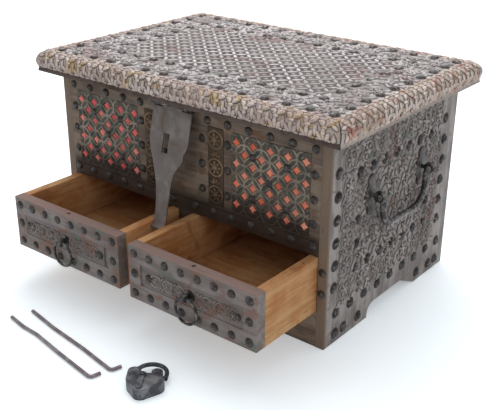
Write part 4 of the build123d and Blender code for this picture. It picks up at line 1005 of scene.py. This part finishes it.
def moulding_leaves(side):
    """Fans along a moulding's foot and rows of leaves over them, flat as (along, down the section)."""
    leaf, full, curl = petal(), petal(0, 0.35), petal(0.3, 0.4)
    fan = ((-62, 14, 9), (-31, 19, 10), (0, 22, 10), (31, 19, 10), (62, 14, 9))
    fan = motif_of([(full, ray(FLAT, 0, 0, 270 + angle, (long, wide, 3.4))) for angle, long, wide in fan])
    first, last = MOULDINGS[side][:2]
    places = spread(first + FAN_INSET, last - FAN_INSET, round((last - first - 2 * FAN_INSET) / FAN_PITCH))
    half = (places[1] - places[0]) / 2
    chance = random.Random(side)
    entries = []
    for place in places:
        entries.append((fan, spot(FLAT, place, 48.5)))
        entries.append((full, spot(FLAT, place, 26, 0, (13, 8, 2.6))))
    for place in places[:-1]:
        entries.append((full, spot(FLAT, place + half, 32, 270, (20, 9, 3))))
    rows = ((curl, 20.5, 1, (17, 11, 2.9)), (leaf, 12, -0.8, (17, 10.5, 2.6)), (curl, 4.6, 0.5, (16, 9, 2)))
    for i, place in enumerate(spread(places[0] - half / 2, places[-1] + half / 2, 2 * len(places))):
        lean = 32 * (-1) ** i + chance.uniform(-9, 9)
        for motif, down, share, size in rows:
            entries.append((motif, spot(FLAT, place, down, share * lean, size)))
    for place, turn in ((first + 14, 75), (last - 14, 105)):
        entries.append((curl, spot(FLAT, place, 38, turn, (17, 11, 3.4))))
        entries.append((leaf, spot(FLAT, place, 23, turn - 80, (17, 8, 3))))
    for place, turn in ((first + 19, 40), (last - 19, 140)):
        entries.append((leaf, spot(FLAT, place, 10, turn, (16, 7, 2.4))))
    return entries


def carved_mouldings():
    """Edge mouldings with fans and leaves carved over their rounded section."""
    for side in MOULDINGS:
        node = "lid_moulding_" + side
        bar = moulding_bar(side)
        # The bar above a height is darkened as grime and painted shade.
        darken_for_dirt_and_shade(bar, FILLET_TOP if side in ("front", "left") else LID_BOTTOM - 1, 0.56)
        dirty_mitres(bar, side)
        finish_piece(bar, "lid", moulding_wood(side), (node,))
        carving = stamped("carved_" + node, moulding_leaves(side))
        wrap_on_moulding(carving, side)
        finish_piece(soften(carving, 25), "lid", moulding_wood(side))


# ---------------------------------------------------------------- side boards

FLOWER_YS, FLOWER_ZS = spread(-140.5, 124.5, 7), spread(86, 297, 6)
LEAF_YS, LEAF_ZS = spread(-100, 89, 14), spread(131, 251, 9)
SIDE_FIRST, SIDE_LAST, SIDE_FOOT, SIDE_HEAD = -156, 141, 66, 323
SIDE_LEAF, SIDE_LEAF_PITCH = (17, 9.5, 3.4), 9.5
GROUND_RIM = 3.5
SIDE_NAIL_ROOM, PLATE_ROOM, RING_ROOM, COMMA_ROOM = 10, 15, 18.5, 8.5
PLATE_YS, PLATE_Z = (-79, 75), 222
PLATE_CLEAR_Y, PLATE_CLEAR_Z = 26, 39.5


def side_flowers(face, out, nails):
    """Ringed flowers round a side board, commas and buds in its field, and leaves over the rest."""
    leaf, comma, heart = chisel_cuts()
    circle = ring(15, 1.8, 0.9, 24)
    circle.depth = np.maximum(circle.depth, 0.55)
    bloom = flower(leaf, heart, 6, 13.4, 3.4)
    bud = flower(leaf, heart, 4, 8.51, 3.91, 0.4)
    # Rounds of grime and painted shadow under the side's nails.
    dirt_and_shade = nail_dirt_and_shadow(9.8, 1)
    wide = SIDE_LAST - SIDE_FIRST + 2 * GROUND_RIM
    high = SIDE_HEAD - SIDE_FOOT + 2 * GROUND_RIM
    middle = spot(face, out * (SIDE_FIRST + SIDE_LAST) / 2, (SIDE_FOOT + SIDE_HEAD) / 2)
    entries = [(flat_tile(wide, high, 0.15, 0.58), middle)]
    entries += [(dirt_and_shade, spot(face, out * y, z)) for y, z in nails]
    taken = [(y, z, SIDE_NAIL_ROOM) for y, z in nails]
    taken += [(y, PLATE_Z + up, PLATE_ROOM) for y in PLATE_YS for up in (-28, -14, 0, 14, 28)]
    for i, y in enumerate(FLOWER_YS):
        for j, z in enumerate(FLOWER_ZS):
            if y in (FLOWER_YS[0], FLOWER_YS[-1]) or z in (FLOWER_ZS[0], FLOWER_ZS[-1]):
                here = spot(face, out * y, z, 11 * (i + 2 * j))
                entries += [(circle, here), (bloom, here)]
                taken.append((y, z, RING_ROOM))
    chance = random.Random(5)
    for j, z in enumerate(LEAF_ZS):
        indent = (LEAF_YS[1] - LEAF_YS[0]) / 2 * (j % 2)
        for i, y in enumerate(LEAF_YS[: len(LEAF_YS) - j % 2]):
            y += indent
            if abs(z - PLATE_Z) < PLATE_CLEAR_Z and any(abs(y - plate) < PLATE_CLEAR_Y for plate in PLATE_YS):
                continue
            turn = 45 * (-1) ** (i + j) + chance.uniform(-14, 14)
            motif, size = (comma, (18, 10, 3.6)) if (i + 2 * j) % 3 else (bud, (1, 1, 1))
            entries.append((motif, spot(face, out * y, z, turn, size)))
            taken.append((y, z, COMMA_ROOM))
    motifs = (comma, comma, leaf, small_bud(leaf, heart))
    area = (SIDE_FIRST, SIDE_LAST, SIDE_FOOT, SIDE_HEAD)
    return entries + fill_between(face, area, SIDE_LEAF_PITCH, taken, motifs, SIDE_LEAF, 31, out)


def plain_side_board(side, out):
    """The side board with the CAD carving pressed flat, as the ground for the finer carving."""
    node = "side_board_" + side
    board = soften(plain_copy("worn_" + node, (node,)))
    edit()
    face = out * SIDE_FACE * MM
    near = 0.01 * MM
    choose("verts", lambda v: out * (v.co.x - face) > -near)
    resize(0, 1, 1, (face, 0, 0))
    select_all()
    bpy.ops.mesh.remove_doubles(threshold=near)
    bpy.ops.mesh.dissolve_degenerate(threshold=near)
    bpy.ops.mesh.dissolve_limited(angle_limit=math.radians(1))
    done()
    finish_piece(wear_edges(board, size_of("edge_wear")), "carcass", side_wood(), (node,))


def carved_sides():
    for side, out in (("right", 1), ("left", -1)):
        plain_side_board(side, out)
        face = facing(side, SIDE_FACE - 0.1)
        entries = side_flowers(face, out, nail_middles("nails_side_" + side, 1, 2))
        carve("carved_side_" + side, entries, "carcass", side_wood())


# ---------------------------------------------------------------- lattices and front strips

LATTICE_STARS = [(108.5 + 16 * i, 195.9 + 16.7 * j) for i in range(9) for j in range(7) if (i + j) % 2 == 0]
LATTICE_IN, LATTICE_OUT, LATTICE_FOOT, LATTICE_TOP = 99.6, 245.4, 181.6, 310.4
CLOTH_FACE = 184.7


def cloth_pillow():
    """Cloth pushed forward through one star of the lattice."""
    primitive("circle", vertices=8, radius=7.8, fill_type="NGON")
    choose("verts", lambda v: min(abs(v.co.x), abs(v.co.y)) > 1)
    resize(0.6, 0.6, 1)
    select_all()
    for lift, grow in ((4.4, 1), (0.9, 0.84), (0.5, 0.5)):
        extrude((0, 0, lift))
        resize(grow, grow, 1)
    bpy.ops.mesh.poke()
    close_open_edges()
    return Motif(done())


def lattice_rings(side, out):
    """Raised interlaced rings round every star, with leaves between them, trimmed to the opening."""
    circle, leaf = ring(16.3, 1.9, 0.75, 28), petal()
    face = facing("front", FRONT_FACE - 0.1)
    entries = [(circle, spot(face, out * x, z)) for x, z in LATTICE_STARS]
    for x, z in LATTICE_STARS:
        for turn in (45, 135, 225, 315):
            entries.append((leaf, ray(face, out * x, z, turn, (10, 3.6, 1.5), 0.82, 90)))
    rings = stamped("rings_" + side, entries)
    pick(rings)
    edit()
    cut((out * LATTICE_IN, 0, 0), (-out, 0, 0))
    cut((out * LATTICE_OUT, 0, 0), (out, 0, 0))
    cut((0, 0, LATTICE_FOOT), (0, 0, -1))
    cut((0, 0, LATTICE_TOP), (0, 0, 1))
    return done()


def pierced_lattices():
    """The lattice panels with their rings, over dyed cloth that bulges through the stars."""
    pillow = cloth_pillow()
    behind = facing("front", CLOTH_FACE)
    for side, out in (("right", 1), ("left", -1)):
        node = "lattice_" + side
        panel = wear_edges(plain_copy("worn_" + node, (node,)), 0.7)
        # The whole panel is darkened as grime and painted shade.
        darken_for_dirt_and_shade(panel, 0, 0.68)
        piece = join("carved_" + node, panel, lattice_rings(side, out))
        finish_piece(soften(piece, 30), "carcass", lattice_wood(), (node,))
        pillows = [(pillow, spot(behind, out * x, z)) for x, z in LATTICE_STARS]
        carve("cloth_pillows_" + side, pillows, "carcass", backing_cloth(side), 50)
    paint(backing_cloth("right"), "lattice_backings")


STRIP_X, STRIP_MID_Z, STRIP_PITCH, STRIP_GROUND = 68, 246, 45.5, 0.8
STRIP_FANS = (217.2, 262.8)


def carved_front_strips():
    """The two upright strips beside the hasp: three flowers each, with leaf fans between."""
    leaf, _, heart = chisel_cuts()
    bloom = flower(leaf, heart, 7, 12.5, 3, 0.4)
    circle = ring(14.3, 1.7, 0.9, 20)
    ground = flat_tile(31, 129, 0.9, 0.8)
    face = facing("front", FRONT_FACE)
    raised = facing("front", FRONT_FACE + STRIP_GROUND)
    entries = []
    for x in (-STRIP_X, STRIP_X):
        entries.append((ground, spot(face, x, STRIP_MID_Z)))
        for step in (-1, 0, 1):
            here = spot(raised, x, STRIP_MID_Z + step * STRIP_PITCH)
            entries += [(circle, here), (bloom, here)]
        for foot in STRIP_FANS:
            entries += [(leaf, ray(raised, x, foot, turn, (11, 5.6, 2.8))) for turn in (30, 70, 110, 150)]
    carving = soften(stamped("carved_front_strips", entries), 25)
    finish_piece(carving, "carcass", strip_wood(), ("carved_strips",))


# ---------------------------------------------------------------- drawers

DRAWERS = {"left": (-1, 327.5), "right": (1, 333.5)}
DRAWER_MID, FRIEZE_Z, RING_CLEAR = 138.75, 107.2, 14
FRIEZE_FLOWERS, FRIEZE_LEAVES = spread(70, 222, 7), spread(82.6, 209.4, 6)


def frieze_leaves(sign, front):
    """Ringed flowers along a drawer's frieze, with four leaves between each two, clear of the ring pull."""
    leaf, _, heart = chisel_cuts()
    bloom = flower(leaf, heart, 6, 7.8, 2.6, 0.4)
    circle = ring(9.4, 1.5, 0.9, 16)
    face = facing("front", front - 0.6)
    entries = []
    for x in FRIEZE_FLOWERS:
        if abs(x - DRAWER_MID) > RING_CLEAR:
            here = spot(face, sign * x, FRIEZE_Z)
            entries += [(circle, here), (bloom, here)]
    for x in FRIEZE_LEAVES:
        if abs(x - DRAWER_MID) > RING_CLEAR:
            for up in (-1, 1):
                for lean in (-1, 1):
                    along, turn = sign * x + lean * 2.5, up * lean * 50
                    entries.append((leaf, spot(face, along, FRIEZE_Z + up * 8, turn, (12, 5.4, 2.4))))
    return entries


def drawer_boxes():
    wear = size_of("edge_wear"), 3
    for side, (sign, front) in DRAWERS.items():
        body = "drawer_" + side
        part = body + "_"
        worn_piece(part + "front", (part + "front",), body, "drawer_front_wood", drawer_front_wood(), *wear)
        nodes = (part + "side_inner", part + "side_outer")
        worn_piece(part + "sides", nodes, body, "drawer_wood", honey_wood("y", ALONG_Y), *wear)
        nodes = (part + "back", part + "bottom")
        worn_piece(part + "back", nodes, body, "drawer_wood", honey_wood("x", ALONG_X), 0.5)
        node = part + "frieze"
        strip = wear_edges(plain_copy("worn_" + node, (node,)), 0.3, 1)
        # The whole frieze strip is darkened as grime and painted shade.
        darken_for_dirt_and_shade(strip, 0, 0.55)
        carving = join("carved_" + node, strip, stamped("leaves_" + part, frieze_leaves(sign, front)))
        finish_piece(soften(carving, 28), body, drawer_front_wood(), (node,))


# ---------------------------------------------------------------- ironwork


def nail_islands(node):
    """The lowest and the highest corner of every nail head in a CAD node, in millimetres."""
    mesh = bmesh.new()
    mesh.from_mesh(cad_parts[node].data)
    bmesh.ops.remove_doubles(mesh, verts=mesh.verts, dist=0.002 * MM)
    seen, found = set(), []
    for vert in mesh.verts:
        if vert in seen:
            continue
        heap, island = [vert], []
        seen.add(vert)
        while heap:
            here = heap.pop()
            island.append(here.co[:])
            for edge in here.link_edges:
                there = edge.other_vert(here)
                if there not in seen:
                    seen.add(there)
                    heap.append(there)
        island = np.array(island) / MM
        found.append((island.min(0), island.max(0)))
    mesh.free()
    return found


def nail_middles(node, first, second):
    """Where the nails of a node stand along two axes."""
    middles = [(low + high) / 2 for low, high in nail_islands(node)]
    return [(middle[first], middle[second]) for middle in middles]


NAIL_NODES = {
    "nails_front": ("front", "carcass"),
    "nails_lid": ("top", "lid"),
    "nails_side_right": ("right", "carcass"),
    "nails_side_left": ("left", "carcass"),
    "drawer_left_nails": ("front", "drawer_left"),
    "drawer_right_nails": ("front", "drawer_right"),
}
NAIL_LOOKS = {
    "front": (1.02, 1.1, nail_iron),
    "top": (1.13, 1.3, lid_nail_iron),
    "right": (1.04, 1.3, side_nail_iron),
    "left": (1.04, 1.3, side_nail_iron),
}
NAIL_SUNK = 0.25


def forged_nails():
    """A hammered head on every nail, each turned, tilted and beaten a little differently."""
    radius, height = size_of("nail_radius"), size_of("nail_height")
    heads = [
        dome(radius, height),
        dome(radius * 0.96, height, 11, ((1, 0), (0.95, 0.34), (0.74, 0.74), (0.3, 1))),
        dome(radius * 1.03, height * 0.92, 10, ((1, 0), (0.9, 0.46), (0.62, 0.86), (0.4, 0.95))),
    ]
    chance = random.Random(11)
    for node, (side, body) in NAIL_NODES.items():
        wide, high_by, finish = NAIL_LOOKS[side]
        face = facing(side, 0)
        out = np.array(face.col[2][:3])
        entries = []
        for low, high in nail_islands(node):
            foot = (low + high) / 2 - out * ((high - low) / 2 + NAIL_SUNK)
            tilt = Matrix.Rotation(math.radians(chance.uniform(-5, 5)), 4, "X")
            spin = Matrix.Rotation(chance.uniform(0, 6.28), 4, "Z")
            beaten = chance.uniform(0.93, 1.05), chance.uniform(0.93, 1.05), chance.uniform(0.86, 1.05)
            grown = Matrix.Diagonal((wide * beaten[0], wide * beaten[1], high_by * beaten[2], 1))
            entries.append((chance.choice(heads), Matrix.Translation(foot) @ face @ tilt @ spin @ grown))
        finish_piece(soften(stamped("forged_" + node, entries), 40), body, finish(), (node,))


def forged_bail(node):
    """A bail with its grip swelled by the hammer."""
    bail = plain_copy("forged_" + node, (node,))
    edit()
    bpy.ops.transform.shrink_fatten(value=1.1 * MM)
    done()
    finish_piece(soften(bail), node, handle_iron(), (node,))


def ironwork():
    worn_piece("hasp", ("hasp",), "hasp", "iron", hasp_iron(), 0.45)
    worn_piece("handle_plates", ("handle_plates",), "carcass", "iron", plate_iron(), 0.5)
    worn_piece("padlock_body", ("padlock_body",), "padlock", "iron", padlock_iron(), 1.2, 3, 30)
    forged_bail("bail_left")
    forged_bail("bail_right")
    paint(handle_iron(), "handle_eyes")
    paint(ring_iron(), "hasp_staple", "hasp_hinge_leaf", "hasp_hinge_pin")
    paint(ring_iron(), "hinge_leaves_lower", "hinge_leaves_upper", "hinge_pins")
    for side in ("left", "right"):
        paint(ring_iron(), f"drawer_{side}_ring", f"drawer_{side}_ring_eye")
        paint(rod_steel(), "drawer_rod_" + side)
    paint(padlock_iron(), "padlock_shackle", "padlock_cover", "padlock_rivets")


# ---------------------------------------------------------------- studio


def stage():
    """A pale floor that glows a little to the camera, an even room and two softboxes."""
    studio = bpy.context.scene.chest_studio
    deselect()
    bpy.ops.mesh.primitive_circle_add(vertices=64, radius=9, fill_type="NGON")
    floor = bpy.context.object
    floor.name = "studio_floor"
    made = bpy.data.materials.new("Studio Floor")
    made.use_nodes = True
    made.node_tree.nodes.clear()
    nodes = Nodes(made.node_tree)
    tone = tuple(studio.floor)
    paper = {"Base Color": tone, "Roughness": 1.0, "Specular IOR Level": 0.0}
    paper = nodes.add("ShaderNodeBsdfPrincipled", paper).outputs[0]
    rays = nodes.add("ShaderNodeLightPath").outputs
    seen = nodes.maths("MAXIMUM", rays["Is Camera Ray"], rays["Is Glossy Ray"])
    seen = nodes.maths("MAXIMUM", seen, rays["Is Transmission Ray"])
    glow = nodes.maths("MULTIPLY", seen, studio.glow)
    white = nodes.add("ShaderNodeEmission", {"Color": tone, "Strength": glow}).outputs[0]
    blend = nodes.add("ShaderNodeAddShader", {0: paper, 1: white}).outputs[0]
    nodes.add("ShaderNodeOutputMaterial", {"Surface": blend})
    floor.data.materials.append(made)

    world = bpy.data.worlds.new("Studio Room")
    bpy.context.scene.world = world
    world.use_nodes = True
    background = world.node_tree.nodes["Background"]
    background.inputs["Color"].default_value = srgb(252, 252, 252)
    background.inputs["Strength"].default_value = studio.sky

    softbox("Overhead Softbox", (-0.6, 0.85, 2.2), (-0.1, 0, 0.2), 2.5, studio.key)
    softbox("Right Softbox", (2.4, -1.0, 1.3), (0.1, 0, 0.2), 1.6, studio.side)


def softbox(name, place, aim, size, power):
    deselect()
    bpy.ops.object.light_add(type="AREA", location=place)
    lamp = bpy.context.object
    lamp.name = name
    lamp.data.energy = power
    lamp.data.size = size
    lamp.rotation_euler = (Vector(aim) - Vector(place)).to_track_quat("-Z", "Y").to_euler()


CAMERA_TURN, CAMERA_TIP, CAMERA_ROLL = 38.47, 24.05, 0.41
CAMERA_PLACE = (889.98, -1139.26, 742.62)
LENS, SENSOR = 62.82, 36


def camera():
    """Looks down at the front right corner."""
    turn, tip, roll = (math.radians(angle) for angle in (CAMERA_TURN, CAMERA_TIP, CAMERA_ROLL))
    back = Vector((math.sin(turn) * math.cos(tip), -math.cos(turn) * math.cos(tip), math.sin(tip)))
    right = Vector((math.cos(turn), math.sin(turn), 0))
    up = Vector((-math.sin(turn) * math.sin(tip), math.cos(turn) * math.sin(tip), math.cos(tip)))
    right, up = math.cos(roll) * right + math.sin(roll) * up, -math.sin(roll) * right + math.cos(roll) * up
    data = bpy.data.cameras.new("Chest Camera")
    data.lens = LENS
    data.sensor_width = SENSOR
    data.sensor_fit = "HORIZONTAL"
    eye = bpy.data.objects.new("Chest Camera", data)
    bpy.context.scene.collection.objects.link(eye)
    matrix = Matrix((right, up, back)).transposed().to_4x4()
    matrix.translation = Vector(CAMERA_PLACE) * MM
    eye.matrix_world = matrix
    bpy.context.scene.camera = eye
    bpy.context.scene.view_settings.view_transform = "Standard"


# ---------------------------------------------------------------- add-on


class CHEST_OT_boards(bpy.types.Operator):
    """Round the carcass boards' edges and give them weathered wood"""

    bl_idname = "chest.boards"
    bl_label = "Worn Boards"

    def execute(self, context):
        worn_boards()
        return {"FINISHED"}


class CHEST_OT_lid(bpy.types.Operator):
    """Carve the lid's field and band"""

    bl_idname = "chest.lid"
    bl_label = "Carved Lid"

    def execute(self, context):
        carved_lid()
        return {"FINISHED"}


class CHEST_OT_mouldings(bpy.types.Operator):
    """Carve the lid's four edge mouldings"""

    bl_idname = "chest.mouldings"
    bl_label = "Carved Mouldings"

    def execute(self, context):
        carved_mouldings()
        return {"FINISHED"}


class CHEST_OT_sides(bpy.types.Operator):
    """Carve both side boards"""

    bl_idname = "chest.sides"
    bl_label = "Carved Sides"

    def execute(self, context):
        carved_sides()
        return {"FINISHED"}


class CHEST_OT_lattices(bpy.types.Operator):
    """Carve the pierced lattices and dye their backing"""

    bl_idname = "chest.lattices"
    bl_label = "Pierced Lattices"

    def execute(self, context):
        pierced_lattices()
        return {"FINISHED"}


class CHEST_OT_strips(bpy.types.Operator):
    """Carve the front strips"""

    bl_idname = "chest.strips"
    bl_label = "Carved Strips"

    def execute(self, context):
        carved_front_strips()
        return {"FINISHED"}


class CHEST_OT_drawers(bpy.types.Operator):
    """Wear the drawer boxes and carve their friezes"""

    bl_idname = "chest.drawers"
    bl_label = "Drawers"

    def execute(self, context):
        drawer_boxes()
        return {"FINISHED"}


class CHEST_OT_nails(bpy.types.Operator):
    """Set a forged nail head at every nail"""

    bl_idname = "chest.nails"
    bl_label = "Forged Nails"

    def execute(self, context):
        forged_nails()
        return {"FINISHED"}


class CHEST_OT_ironwork(bpy.types.Operator):
    """Finish the hasp, handles, rings, padlock and rods"""

    bl_idname = "chest.ironwork"
    bl_label = "Ironwork"

    def execute(self, context):
        ironwork()
        return {"FINISHED"}


class CHEST_OT_stage(bpy.types.Operator):
    """Lay the studio floor and set the lights and the camera"""

    bl_idname = "chest.stage"
    bl_label = "Studio"

    def execute(self, context):
        stage()
        camera()
        return {"FINISHED"}


OPERATORS = (
    CHEST_OT_boards,
    CHEST_OT_lid,
    CHEST_OT_mouldings,
    CHEST_OT_sides,
    CHEST_OT_lattices,
    CHEST_OT_strips,
    CHEST_OT_drawers,
    CHEST_OT_nails,
    CHEST_OT_ironwork,
    CHEST_OT_stage,
)


class CHEST_PT_panel(bpy.types.Panel):
    """Chest tools in the sidebar"""

    bl_label = "Dowry Chest"
    bl_idname = "CHEST_PT_panel"
    bl_space_type = "VIEW_3D"
    bl_region_type = "UI"
    bl_category = "Chest"

    def draw(self, context):
        for settings in (context.scene.chest_colours, context.scene.chest_sizes, context.scene.chest_studio):
            box = self.layout.box()
            for key in settings.__annotations__:
                box.prop(settings, key)
        for operator in OPERATORS:
            self.layout.operator(operator.bl_idname)


CLASSES = (ChestColours, ChestSizes, ChestStudio, *OPERATORS, CHEST_PT_panel)


def register():
    for item in CLASSES:
        bpy.utils.register_class(item)
    bpy.types.Scene.chest_colours = bpy.props.PointerProperty(type=ChestColours)
    bpy.types.Scene.chest_sizes = bpy.props.PointerProperty(type=ChestSizes)
    bpy.types.Scene.chest_studio = bpy.props.PointerProperty(type=ChestStudio)


def unregister():
    del bpy.types.Scene.chest_studio
    del bpy.types.Scene.chest_sizes
    del bpy.types.Scene.chest_colours
    for item in reversed(CLASSES):
        bpy.utils.unregister_class(item)


def main():
    register()
    bpy.ops.chest.boards()
    bpy.ops.chest.lid()
    bpy.ops.chest.mouldings()
    bpy.ops.chest.sides()
    bpy.ops.chest.lattices()
    bpy.ops.chest.strips()
    bpy.ops.chest.drawers()
    bpy.ops.chest.nails()
    bpy.ops.chest.ironwork()
    bpy.ops.chest.stage()


if __name__ == "__main__":
    main()
